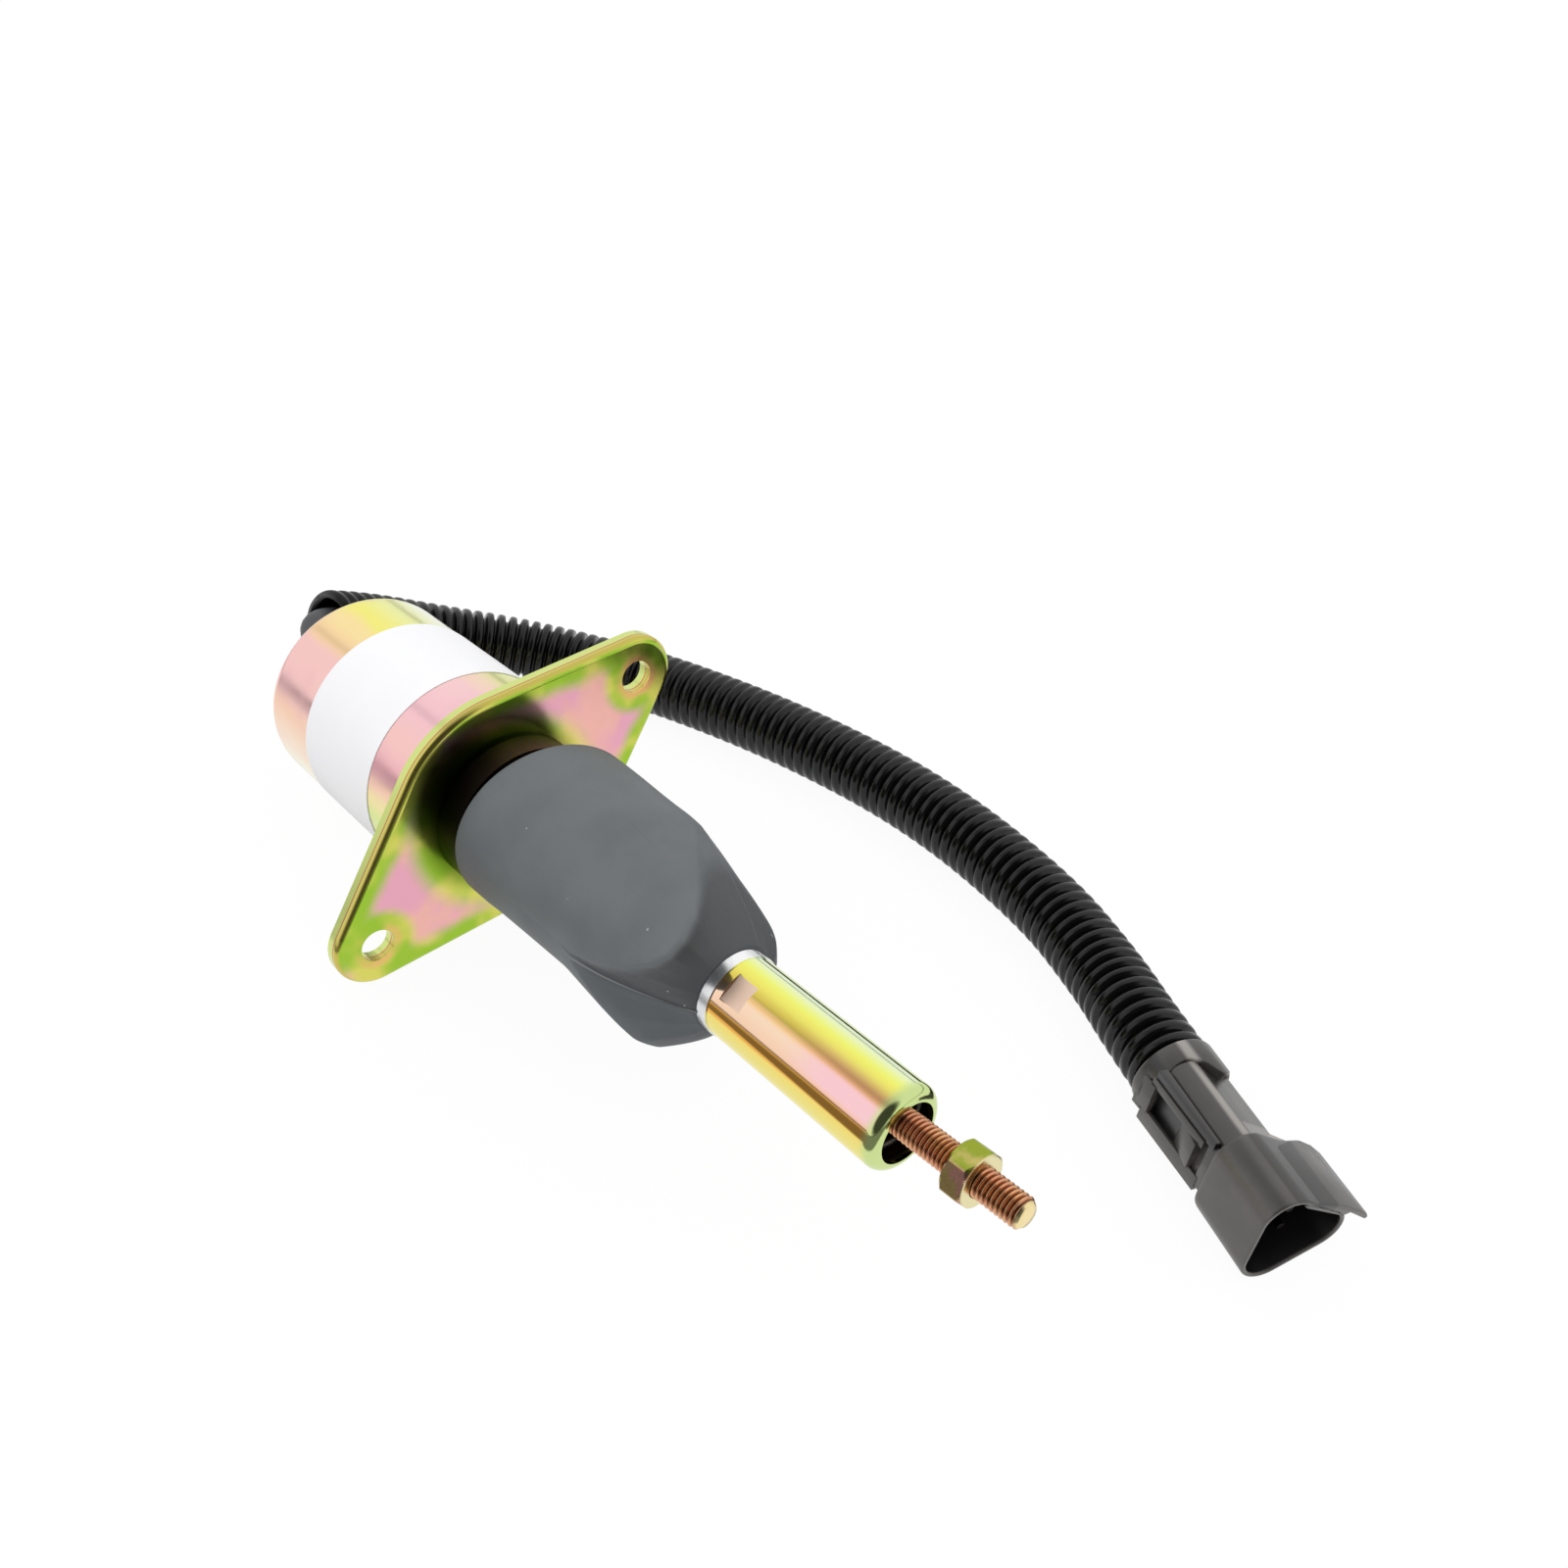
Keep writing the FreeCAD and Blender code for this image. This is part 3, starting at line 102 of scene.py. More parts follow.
# Materials
class Nodes:
    """Adds shader nodes to a material, and links values or sockets into their inputs."""

    def __init__(self, tree):
        self.tree = tree

    def give(self, socket, given):
        """Links a socket into this one, or sets this one to a value."""
        if isinstance(given, bpy.types.NodeSocket):
            self.tree.links.new(given, socket)
        else:
            socket.default_value = given

    def add(self, kind, inputs=(), **settings):
        node = self.tree.nodes.new(kind)
        for name, setting in settings.items():
            setattr(node, name, setting)
        for key, given in dict(inputs).items():
            self.give(node.inputs[key], given)
        return node

    def math(self, operation, first, second=0.0, clamp=False):
        node = self.add("ShaderNodeMath", {0: first, 1: second}, operation=operation)
        node.use_clamp = clamp
        return node.outputs[0]

    def times(self, *factors):
        product = factors[0]
        for factor in factors[1:]:
            product = self.math("MULTIPLY", product, factor)
        return product

    def between(self, given, middle, far, near):
        """1 within near of the middle, 0 beyond far from it and smooth between them."""
        off = self.math("ABSOLUTE", self.math("SUBTRACT", given, middle))
        return self.smooth(off, far, near)

    def length(self, first, second):
        """The length of a vector with these two parts."""
        squares = self.math("ADD", self.times(first, first), self.times(second, second))
        return self.math("SQRT", squares)

    def offset(self, place, origin):
        node = self.add("ShaderNodeVectorMath", {0: place, 1: origin}, operation="SUBTRACT")
        return node.outputs["Vector"]

    def raised(self, given, share, base):
        """A base raised by a share of what is given."""
        return self.math("ADD", self.times(given, share), base)

    def dot(self, vector, direction):
        node = self.add("ShaderNodeVectorMath", {0: vector, 1: direction}, operation="DOT_PRODUCT")
        return node.outputs["Value"]

    def smooth(self, given, low, high):
        """0 below low, 1 above high and smooth between them."""
        node = self.add("ShaderNodeMapRange", {"Value": given, "From Min": low, "From Max": high},
                        interpolation_type="SMOOTHSTEP")
        return node.outputs["Result"]

    def mix(self, share, first, second):
        node = self.add("ShaderNodeMix", data_type="RGBA")
        for socket, given in zip([node.inputs[0], node.inputs[6], node.inputs[7]],
                                 [share, first, second]):
            self.give(socket, given)
        return node.outputs[2]

    def noise(self, vector, scale, detail=3.0):
        node = self.add("ShaderNodeTexNoise", {"Vector": vector, "Scale": scale, "Detail": detail})
        return node.outputs["Fac"]

    def ramp(self, share, stops, interpolation="EASE"):
        node = self.add("ShaderNodeValToRGB", {"Fac": share})
        ramp = node.color_ramp
        ramp.interpolation = interpolation
        while len(ramp.elements) < len(stops):
            ramp.elements.new(0.5)
        for element, (place, colour) in zip(ramp.elements, stops):
            element.position = place
            element.color = colour
        return node.outputs["Color"]

    def scaled(self, vector, scale):
        node = self.add("ShaderNodeVectorMath", {0: vector, 1: scale}, operation="MULTIPLY")
        return node.outputs["Vector"]

    def bump(self, height, distance, strength):
        node = self.add("ShaderNodeBump", {"Height": height, "Distance": distance,
                                           "Strength": strength})
        return node.outputs["Normal"]


def rgb(red, green, blue):
    """A colour given as it shows on a screen, from 0 to 255, as the shader takes it."""
    def linear(given):
        share = given / 255.0
        return share / 12.92 if share <= 0.04045 else ((share + 0.055) / 1.055) ** 2.4
    return (linear(red), linear(green), linear(blue), 1.0)


def material(name, make, **settings):
    """A new material: make(nodes, shader, place) adds the nodes, and settings are constants."""
    made = bpy.data.materials.new(name)
    made.use_nodes = True
    tree = made.node_tree
    nodes_of = Nodes(tree)
    shader = tree.nodes["Principled BSDF"]
    for key, given in settings.items():
        shader.inputs[key.replace("_", " ")].default_value = given
    place = nodes_of.add("ShaderNodeTexCoord").outputs["Object"]
    make(nodes_of, shader, place)
    return made


def link(nodes_of, shader, **sockets):
    """Links sockets into the shader's inputs of these names."""
    for key, given in sockets.items():
        nodes_of.tree.links.new(given, shader.inputs[key.replace("_", " ")])


PINK = rgb(248, 200, 196)
ROSE = rgb(240, 178, 194)
PEACH = rgb(250, 208, 180)
GOLD = rgb(243, 238, 112)
LIME = rgb(206, 226, 120)
GREEN = rgb(160, 200, 62)


def along_and_round(n, place):
    """The station along the axis in metres, and the direction round it as two lengths."""
    return n.dot(place, ALONG), n.dot(place, ABOVE), n.dot(place, BESIDE)


def turn_share(n, up, across, wander):
    """The direction round an axis as a share of a turn, 0.5 straight up."""
    turn = n.math("ARCTAN2", across, up)
    return n.math("DIVIDE", n.math("ADD", n.math("ADD", turn, wander), math.pi), 2 * math.pi)


def drifting(n, place, scale, reach):
    """A slow wander either side of nothing."""
    drift = n.noise(n.scaled(place, scale), 1.0, 2.0)
    return n.times(n.math("SUBTRACT", drift, 0.5), reach)


def zinc_can(n, shader, place):
    """Bands of pink, peach and yellow that run along the can and shift from rear to front."""
    station, up, across = along_and_round(n, place)
    share = turn_share(n, up, across, drifting(n, place, (18.0, 34.0, 34.0), 0.5))
    rear = n.ramp(share, [
        (0.0, PEACH), (0.21, rgb(246, 242, 211)), (0.253, rgb(250, 225, 200)), (0.30, PEACH),
        (0.33, PINK), (0.41, PINK), (0.435, rgb(250, 214, 164)), (0.47, rgb(252, 227, 163)),
        (0.495, rgb(246, 239, 122)), (0.55, rgb(238, 242, 158)), (0.62, rgb(235, 239, 217)),
        (0.78, GOLD), (1.0, PEACH)])
    front = n.ramp(share, [
        (0.0, PEACH), (0.20, LIME), (0.253, rgb(215, 233, 137)), (0.28, rgb(244, 228, 164)),
        (0.31, PEACH), (0.335, rgb(246, 186, 192)), (0.38, PINK), (0.43, rgb(248, 199, 206)),
        (0.51, rgb(250, 206, 209)), (0.535, rgb(247, 213, 194)), (0.575, rgb(224, 230, 141)),
        (0.66, LIME), (1.0, PEACH)])
    colour = n.mix(n.smooth(station, -0.050, -0.020), rear, front)
    cloud = n.smooth(n.noise(place, 70.0, 2.0), 0.45, 0.75)
    colour = n.mix(n.times(cloud, 0.25), colour, ROSE)
    link(n, shader, Base_Color=colour, Roughness=n.raised(cloud, 0.08, 0.17))


HOLE_LINE = (ABOVE * 18.67 + BESIDE * 37.61).normalized()
HOLE_REACH = 42.0
# The flange's straight edge, as the parts of its normal along and off the hole line
EDGE_ALONG = 0.445
EDGE_OFF = 0.895


def zinc_flange(n, shader, place):
    """Pink ears in a green border, a golden edge and a painted dark reflection of the boot round
    the hub.
    """
    station, _, across = along_and_round(n, place)
    # Distances along the line through both holes and off it, in millimetres
    signed = n.dot(place, HOLE_LINE / MM)
    reach = n.math("ABSOLUTE", signed)
    off_line = n.math("ABSOLUTE", n.dot(place, ALONG.cross(HOLE_LINE) / MM))
    edge = n.math("ADD", n.times(reach, EDGE_ALONG), n.times(off_line, EDGE_OFF))
    edge = n.math("ADD", edge, drifting(n, place, (70.0, 70.0, 70.0), 5.0))
    hole = n.length(n.math("SUBTRACT", reach, HOLE_REACH), off_line)
    middle = n.length(reach, off_line)
    lower = n.times(n.smooth(signed, 4.0, -8.0), 2.4)
    blush = n.times(n.smooth(edge, 26.0, 21.5), n.smooth(hole, 7.0, 10.5),
                    n.smooth(n.math("SUBTRACT", middle, lower), 19.5, 26.0))
    patch = n.smooth(n.noise(place, 62.0, 3.0), 0.42, 0.62)
    pink = n.mix(patch, rgb(238, 172, 192), rgb(246, 186, 176))
    warm = n.smooth(n.noise(place, 85.0, 2.0), 0.40, 0.66)
    lime = n.mix(warm, GREEN, rgb(222, 218, 104))
    lime = n.mix(n.times(n.smooth(hole, 6.6, 4.6), warm), lime, rgb(240, 186, 120))
    face = n.mix(blush, lime, pink)
    # The rounded front edge is golden, the outer side pale, with a thin orange line between
    side = n.smooth(station, -0.0010, -0.0016)
    gold_edge = n.smooth(station, -0.00008, -0.0005)
    line = n.times(n.smooth(station, -0.0022, -0.0018), n.smooth(station, -0.0013, -0.0017))
    colour = n.mix(gold_edge, face, rgb(206, 190, 96))
    colour = n.mix(side, colour, rgb(214, 226, 138))
    colour = n.mix(line, colour, rgb(206, 150, 88))
    # The painted dark reflection of the boot reaches further above the hub, where it is green on
    # one side and brown on the other
    lean = n.times(n.dot(place, (ABOVE - BESIDE) / MM), 0.10)
    painted_boot_reflection = n.times(n.smooth(n.math("SUBTRACT", middle, lean), 23.4, 16.6),
                    n.smooth(station, -0.0006, -0.0001), 0.86)
    reflection_hue = n.mix(n.smooth(across, 0.000, 0.014), rgb(78, 108, 10), rgb(70, 48, 42))
    colour = n.mix(painted_boot_reflection, colour, reflection_hue)
    link(n, shader, Base_Color=colour, Roughness=n.raised(n.noise(place, 240.0, 3.0), 0.12, 0.14))


SLEEVE_RADIUS = 0.00873
SLEEVE_FLAT = 0.00865


def zinc_sleeve(n, shader, place):
    """Yellow above and peach below, with a sharp orange line of painted reflection, paler flats
    and painted dark shade inside.
    """
    station, up, across = along_and_round(n, place)
    share = turn_share(n, up, across, drifting(n, place, (16.0, 60.0, 60.0), 0.16))
    upper = [(0.497, rgb(243, 238, 112)), (0.517, rgb(241, 246, 119)), (0.536, rgb(239, 248, 152)),
             (0.561, rgb(235, 247, 190)), (0.583, rgb(226, 239, 203)), (0.65, LIME), (0.80, GOLD),
             (1.0, GOLD)]
    # The orange stops below are a painted reflection: they give the tint of a brown reflected
    # band.
    lower = [(0.0, GOLD), (0.265, rgb(241, 226, 126)), (0.292, rgb(246, 222, 120)),
             (0.302, rgb(240, 178, 84)), (0.332, rgb(240, 178, 84))]
    rear = n.ramp(share, lower + [
        (0.342, rgb(248, 208, 178)), (0.40, rgb(250, 219, 190)), (0.425, rgb(250, 206, 140)),
        (0.445, rgb(240, 216, 100))] + upper)
    front = n.ramp(share, lower + [
        (0.342, rgb(250, 200, 180)), (0.36, rgb(250, 204, 210)), (0.405, rgb(251, 203, 208)),
        (0.43, rgb(250, 188, 134))] + upper)
    colour = n.mix(n.smooth(station, 0.100, 0.114), rear, front)
    nose = n.smooth(station, 0.1236, 0.1262)
    colour = n.mix(nose, colour, rgb(206, 224, 150))
    reach = n.length(up, across)
    flat = n.times(n.smooth(reach, SLEEVE_RADIUS, SLEEVE_FLAT), n.smooth(station, 0.0960, 0.0940))
    colour = n.mix(flat, colour, rgb(249, 217, 194))
    # Painted shade: the inside of the sleeve's mouth is darkened.
    inside = n.times(n.smooth(reach, 0.0078, 0.0074), n.smooth(station, 0.1268, 0.1262))
    colour = n.mix(inside, colour, rgb(60, 50, 42))
    worn = n.math("MAXIMUM", inside, n.times(flat, 0.5))
    rough = n.raised(worn, 0.4, n.raised(n.noise(place, 150.0), 0.06, 0.06))
    link(n, shader, Base_Color=colour, Roughness=rough)


def rod_round(n, place):
    """Distance from the pull rod's axis, the direction round it, and the station along it."""
    offset = n.offset(place, ROD_PIVOT * MM)
    up = n.dot(offset, ROD_ABOVE)
    across = n.dot(offset, BESIDE)
    return n.length(up, across), n.math("ARCTAN2", across, up), n.dot(offset, ROD_ALONG)


def copper_thread(n, shader, place):
    """Copper crests over roots darkened with painted shade, and a pale end face."""
    radius, _, station = rod_round(n, place)
    drift = n.smooth(n.noise(place, 210.0, 3.0), 0.35, 0.65)
    crest = n.mix(drift, rgb(232, 176, 128), rgb(222, 156, 120))
    # Painted shade: the thread's roots are darker than its crests.
    colour = n.mix(n.smooth(radius, 0.00245, 0.00288), rgb(122, 74, 50), crest)
    colour = n.mix(n.smooth(station, 0.0600, 0.0606), colour, rgb(248, 228, 170))
    link(n, shader, Base_Color=colour, Roughness=n.raised(n.noise(place, 2400.0, 2.0), 0.10, 0.20))


def nut_plating(n, shader, place):
    """Green plating that turns rose on one side, and a pale front face."""
    _, turn, station = rod_round(n, place)
    drift = n.noise(place, 240.0, 3.0)
    green = n.mix(n.smooth(drift, 0.40, 0.62), rgb(158, 172, 62), rgb(206, 190, 112))
    rose = n.mix(n.smooth(drift, 0.40, 0.62), rgb(190, 138, 126), rgb(172, 150, 96))
    colour = n.mix(n.smooth(turn, -0.68, -0.56), rose, green)
    front = n.smooth(station, 0.0508, 0.0511)
    colour = n.mix(front, colour, rgb(236, 226, 176))
    link(n, shader, Base_Color=colour, Roughness=n.raised(n.noise(place, 1700.0, 2.0), 0.12, 0.22))


# Direction of the boot's moulding seam round the axis, in degrees
BOOT_SEAM = -88.0


def soft_rubber(n, shader, place):
    """Moulded rubber with faint clouds, a fine grain and some dust, and painted shade where it
    folds in.
    """
    station, up, across = along_and_round(n, place)
    reach = n.length(up, across)
    cloud = n.smooth(n.noise(place, 70.0, 4.0), 0.3, 0.7)
    colour = n.mix(cloud, rgb(93, 98, 101), rgb(86, 91, 94))
    # Painted shade where the barrel folds in towards the ring, half as strong on one side of the
    # seam.
    turn = n.math("ARCTAN2", across, up)
    above = n.raised(n.smooth(turn, -1.60, -1.53), 0.5, 0.5)
    painted_fold_shade = n.times(n.smooth(reach, 0.0199, 0.0168), n.smooth(station, 0.048, 0.056), above)
    colour = n.mix(painted_fold_shade, colour, rgb(64, 67, 70))
    seam = n.times(n.between(turn, math.radians(BOOT_SEAM), 0.017, 0.008),
                   n.smooth(station, 0.046, 0.054), 0.6)
    colour = n.mix(seam, colour, rgb(128, 131, 133))
    speck = n.smooth(n.noise(place, 560.0, 1.0), 0.80, 0.82)
    colour = n.mix(speck, colour, rgb(140, 143, 145))
    grain = n.noise(place, 1700.0, 3.0)
    link(n, shader, Base_Color=colour, Roughness=n.raised(grain, 0.14, 0.48),
         Normal=n.bump(grain, 0.00002, 0.4))


def hub_iron(n, shader, place):
    """Dark brown iron, with a black line where the hub leaves the flange."""
    station, _, across = along_and_round(n, place)
    drift = n.noise(place, 260.0, 3.0)
    colour = n.mix(drift, rgb(92, 74, 62), rgb(62, 50, 42))
    colour = n.mix(n.smooth(across, 0.002, -0.014), colour, rgb(30, 25, 22))
    colour = n.mix(n.smooth(station, 0.0016, 0.0008), colour, rgb(12, 10, 8))
    link(n, shader, Base_Color=colour, Roughness=n.raised(drift, 0.12, 0.34))


def plated(first, second, rough):
    """A plated metal that drifts between two colours."""
    def make(n, shader, place):
        drift = n.smooth(n.noise(place, 260.0, 3.0), 0.35, 0.65)
        grain = n.noise(place, 2400.0, 2.0)
        link(n, shader, Base_Color=n.mix(drift, first, second),
             Roughness=n.raised(grain, 0.12, rough), Normal=n.bump(grain, 0.00001, 0.4))
    return make


def moulded(first, second, rough):
    """A moulded surface with a fine grain, in two nearly equal colours."""
    def make(n, shader, place):
        drift = n.smooth(n.noise(place, 120.0, 4.0), 0.3, 0.7)
        grain = n.noise(place, 1800.0, 3.0)
        link(n, shader, Base_Color=n.mix(drift, first, second),
             Roughness=n.raised(grain, 0.15, rough), Normal=n.bump(grain, 0.00002, 0.5))
    return make


RAIL_SHADOW_TURN = math.radians(34.0)
HIGHLIGHT_TURN = math.radians(-40.0)
CATCH_HEADING = -60.0
WINDOW_HEADING = 60.0


def flank_place(n, offset, heading):
    """Distance out from the connector's axis towards a flank, and the offset over the flank."""
    out = flank_point(0.0, 1.0, 0.0, heading) - CONNECTOR_ORIGIN
    over = flank_point(0.0, 0.0, 1.0, heading) - CONNECTOR_ORIGIN
    return n.dot(offset, out), n.dot(offset, over)


def connector_grey(n, shader, place):
    """Glass-filled moulding, satin outside, with painted black shade deep inside the socket and
    painted shade, shadow, reflection and highlights on its outside.
    """
    drift = n.smooth(n.noise(place, 120.0, 4.0), 0.3, 0.7)
    grain = n.noise(place, 1800.0, 3.0)
    colour = n.mix(drift, rgb(76, 72, 70), rgb(66, 63, 61))
    offset = n.offset(place, CONNECTOR_ORIGIN * MM)
    ahead = n.dot(offset, CONNECTOR_ALONG)
    outward = n.offset(offset, n.scaled(CONNECTOR_ALONG, ahead))
    outward = n.add("ShaderNodeVectorMath", {0: outward}, operation="NORMALIZE").outputs["Vector"]
    facing = n.dot(n.add("ShaderNodeTexCoord").outputs["Normal"], outward)
    # Painted shade: deep inside the socket the moulding is painted black.
    inside = n.times(n.smooth(facing, -0.2, -0.5), n.smooth(ahead, 0.0404, 0.0398))
    # Painted shade on the floor of the window in the collar's side
    out, over = flank_place(n, offset, WINDOW_HEADING)
    window = n.times(n.smooth(out, 0.0078, 0.0074), n.smooth(out, 0.0, 0.003),
                     n.between(over, 0.0, 0.0040, 0.0035), n.smooth(ahead, 0.0142, 0.0128))
    # The carrier's top corner: painted shade, with a painted shadow line beside the rail and a
    # painted highlight strip
    top = n.dot(offset, CONNECTOR_TOP)
    side = n.dot(offset, CONNECTOR_SIDE)
    round_top = n.math("ARCTAN2", side, n.math("SUBTRACT", top, 0.0042))
    carrier = n.times(n.smooth(ahead, 0.0240, 0.0234), n.smooth(top, 0.0035, 0.0050))
    painted_rail_shadow = n.times(n.between(round_top, RAIL_SHADOW_TURN, 0.30, 0.06), carrier, 0.85)
    painted_highlight = n.times(n.between(round_top, HIGHLIGHT_TURN, 0.30, 0.06), carrier, 0.8)
    colour = n.mix(n.times(carrier, 0.55), colour, rgb(38, 36, 35))
    colour = n.mix(painted_highlight, colour, rgb(150, 146, 141))
    # The shell: a painted dark reflection stripe along its top corner, and painted shade on the
    # catch's near flank
    catch_out, catch_over = flank_place(n, offset, CATCH_HEADING)
    crown = n.math("ARCTAN2", side, n.math("SUBTRACT", top, 0.0057))
    painted_reflection_stripe = n.times(n.between(crown, 0.10, 0.42, 0.12), n.smooth(top, 0.0045, 0.0065),
                     n.smooth(catch_out, 0.0080, 0.0076), 0.55)
    shaded_flank = n.times(n.smooth(catch_out, 0.0076, 0.0080),
                         n.smooth(catch_over, -0.0036, -0.0029), 0.75)
    shell = n.times(n.math("MAXIMUM", painted_reflection_stripe, shaded_flank), n.smooth(ahead, 0.0244, 0.0250))
    colour = n.mix(shell, colour, rgb(34, 32, 31))
    # Painted highlight: the web is painted lighter than the rest of the moulding.
    web = n.times(n.smooth(catch_out, 0.0068, 0.0072), n.smooth(ahead, 0.0250, 0.0240),
                  n.smooth(ahead, 0.0195, 0.0205), n.smooth(catch_over, 0.0044, 0.0036), 0.8)
    colour = n.mix(web, colour, rgb(158, 155, 151))
    # Painted black shade inside the socket, on the window's floor and along the rail.
    dark = n.math("MAXIMUM", n.math("MAXIMUM", inside, window), painted_rail_shadow)
    colour = n.mix(dark, colour, rgb(14, 12, 12))
    link(n, shader, Base_Color=colour, Roughness=n.raised(grain, 0.12, 0.26),
         Normal=n.bump(grain, 0.00001, 0.3))


def paper(n, shader, place):
    """Bare white paper with a fine fibre."""
    drift = n.noise(place, 90.0, 4.0)
    fibre = n.noise(place, 1500.0, 3.0)
    colour = n.mix(drift, rgb(224, 224, 227), rgb(229, 229, 231))
    link(n, shader, Base_Color=colour, Normal=n.bump(fibre, 0.00001, 0.3))


MATERIALS = {
    "housing_can": material("zinc_can", zinc_can, Metallic=1.0),
    "flange_plate": material("zinc_flange", zinc_flange, Metallic=1.0),
    "override_sleeve": material("zinc_sleeve", zinc_sleeve, Metallic=1.0),
    "label_wrap": material("label_paper", paper, Roughness=0.42),
    "pole_plate": material("dark_iron", hub_iron, Metallic=1.0),
    "neck_ring": material("ring_steel", plated(rgb(250, 250, 250), rgb(228, 229, 231), 0.18),
                          Metallic=1.0),
    "pull_rod": material("rod_copper", copper_thread, Metallic=1.0),
    "jam_nut": material("nut_zinc", nut_plating, Metallic=1.0),
    "boot": material("boot_rubber", soft_rubber),
    "lead_sheath": material("lead_jacket", moulded(rgb(58, 60, 64), rgb(50, 52, 55), 0.40)),
    "conduit": material("conduit_black", moulded(rgb(8, 8, 9), rgb(5, 5, 6), 0.10),
                        Specular_IOR_Level=0.36),
    "connector_body": material("connector_grey", connector_grey, Specular_IOR_Level=0.75),
    "spring": material("spring_wire", plated(rgb(104, 98, 92), rgb(74, 70, 66), 0.42),
                       Metallic=1.0),
    "tube": material("drawn_tube", plated(rgb(200, 198, 192), rgb(180, 178, 172), 0.25),
                     Metallic=1.0),
    "spool": material("spool_nylon", moulded(rgb(42, 42, 44), rgb(36, 36, 38), 0.5)),
    "winding": material("winding_copper", plated(rgb(196, 116, 70), rgb(170, 92, 56), 0.3),
                        Metallic=1.0),
    "wedge": material("wedge_black", moulded(rgb(24, 24, 25), rgb(18, 18, 19), 0.45)),
    "seal": material("seal_silicone", moulded(rgb(150, 78, 54), rgb(140, 70, 48), 0.5)),
    "contact": material("contact_tin", plated(rgb(40, 37, 32), rgb(32, 29, 25), 0.4),
                        Metallic=1.0),
}
NODE_MATERIALS = {
    "rear_stop": "pole_plate", "guide_tube": "tube", "coil_bobbin": "spool",
    "hold_coil": "winding", "pull_coil": "winding", "plunger": "tube",
    "return_spring": "spring", "override_spring": "spring", "lead_grommet": "lead_sheath",
    "connector_collar": "connector_body", "wedge_lock": "wedge", "wire_seal": "seal",
    "lead_wires": "lead_sheath", "contact_pins": "contact",
}
for name, node in nodes.items():
    node.data.materials.clear()
    node.data.materials.append(MATERIALS[NODE_MATERIALS.get(name, name)])


# Meshes
def new_piece(name, vertices, faces, look, smooth=True):
    """A mesh object from vertices in millimetres."""
    mesh = bpy.data.meshes.new(name)
    mesh.from_pydata([Vector(vertex) * MM for vertex in vertices], [], faces)
    mesh.validate()
    mesh.update()
    if smooth:
        mesh.shade_smooth()
    mesh.materials.append(look)
    piece = bpy.data.objects.new(name, mesh)
    scene.collection.objects.link(piece)
    return piece


def eased(given, low, high):
    """0 below low, 1 above high and smooth between them."""
    share = max(0.0, min(1.0, (given - low) / (high - low)))
    return share * share * (3 - 2 * share)


def from_table(table, given):
    """Reads a table of pairs at a place between its rows."""
    places, values = zip(*table)
    return float(np.interp(given, places, values))


def ring_faces(rows, around, closed=False):
    """Quads that join rows of vertices, each row a ring; closed joins the last to the first."""
    faces = []
    last = rows if closed else rows - 1
    for row in range(last):
        here = row * around
        ahead = ((row + 1) % rows) * around
        for step in range(around):
            following = (step + 1) % around
            faces.append((here + step, here + following, ahead + following, ahead + step))
    return faces


# Lead and conduit on the route that the solids follow
LEAD_EXIT = ALONG * -70.7 + ABOVE * 13.5 - BESIDE * 6.0
LEAD_RADIUS = 4.2
CONDUIT_RADIUS = 8.65
CONDUIT_ROOT = 6.9
CONDUIT_BORE = 6.6
CONDUIT_HEIGHT = BENCH + CONDUIT_RADIUS
RIB_PITCH = 3.23
ROWS_PER_RIB = 10
REAR_TURN = Vector((-86.5, -2.8, 9.5))
SHARED_ROUTE = [
    Vector((-90.0, 9.7, 2.8)),
    Vector((-86.5, 30.0, -8.0)),
    Vector((-76.5, 48.5, -15.0)),
    Vector((-60.0, 63.5, -19.4)),
    Vector((-38.0, 74.3, CONDUIT_HEIGHT)),
    Vector((2.0, 85.4, CONDUIT_HEIGHT)),
    Vector((45.0, 91.1, CONDUIT_HEIGHT)),
    Vector((87.0, 86.9, CONDUIT_HEIGHT)),
    Vector((112.0, 78.4, CONDUIT_HEIGHT + 0.2)),
    CONNECTOR_ORIGIN - CONNECTOR_ALONG * 12.0,
]


def route_curve(name, route):
    """A smooth curve with the route's points as its control points."""
    data = bpy.data.curves.new(name, "CURVE")
    data.dimensions = "3D"
    data.resolution_u = 24
    spline = data.splines.new("NURBS")
    spline.points.add(len(route) - 1)
    for point, spot in zip(spline.points, route):
        point.co = (*(spot * MM), 1.0)
    spline.order_u = 3
    spline.use_endpoint_u = True
    curve = bpy.data.objects.new(name, data)
    scene.collection.objects.link(curve)
    return curve


def read_line(curve):
    """The points that a curve without a bevel follows, in millimetres."""
    bpy.context.view_layer.update()
    graph = bpy.context.evaluated_depsgraph_get()
    mesh = bpy.data.meshes.new_from_object(curve.evaluated_get(graph))
    return np.array([vertex.co[:] for vertex in mesh.vertices]) / MM


def frames_along(line, step):
    """Evenly spaced points on a line, with two unit vectors across it at each."""
    lengths = np.r_[0.0, np.cumsum(np.linalg.norm(np.diff(line, axis=0), axis=1))]
    count = max(2, int(round(lengths[-1] / step)) + 1)
    stations = np.linspace(0.0, lengths[-1], count)
    points = np.stack([np.interp(stations, lengths, line[:, axis]) for axis in range(3)], axis=1)
    heading = np.gradient(points, axis=0)
    heading /= np.linalg.norm(heading, axis=1)[:, None]
    side = np.cross(heading[0], (0.0, 0.0, 1.0))
    sides = []
    for ahead in heading:
        side = side - ahead * side.dot(ahead)
        side /= np.linalg.norm(side)
        sides.append(side.copy())
    sides = np.array(sides)
    return stations, points, sides, np.cross(heading, sides)


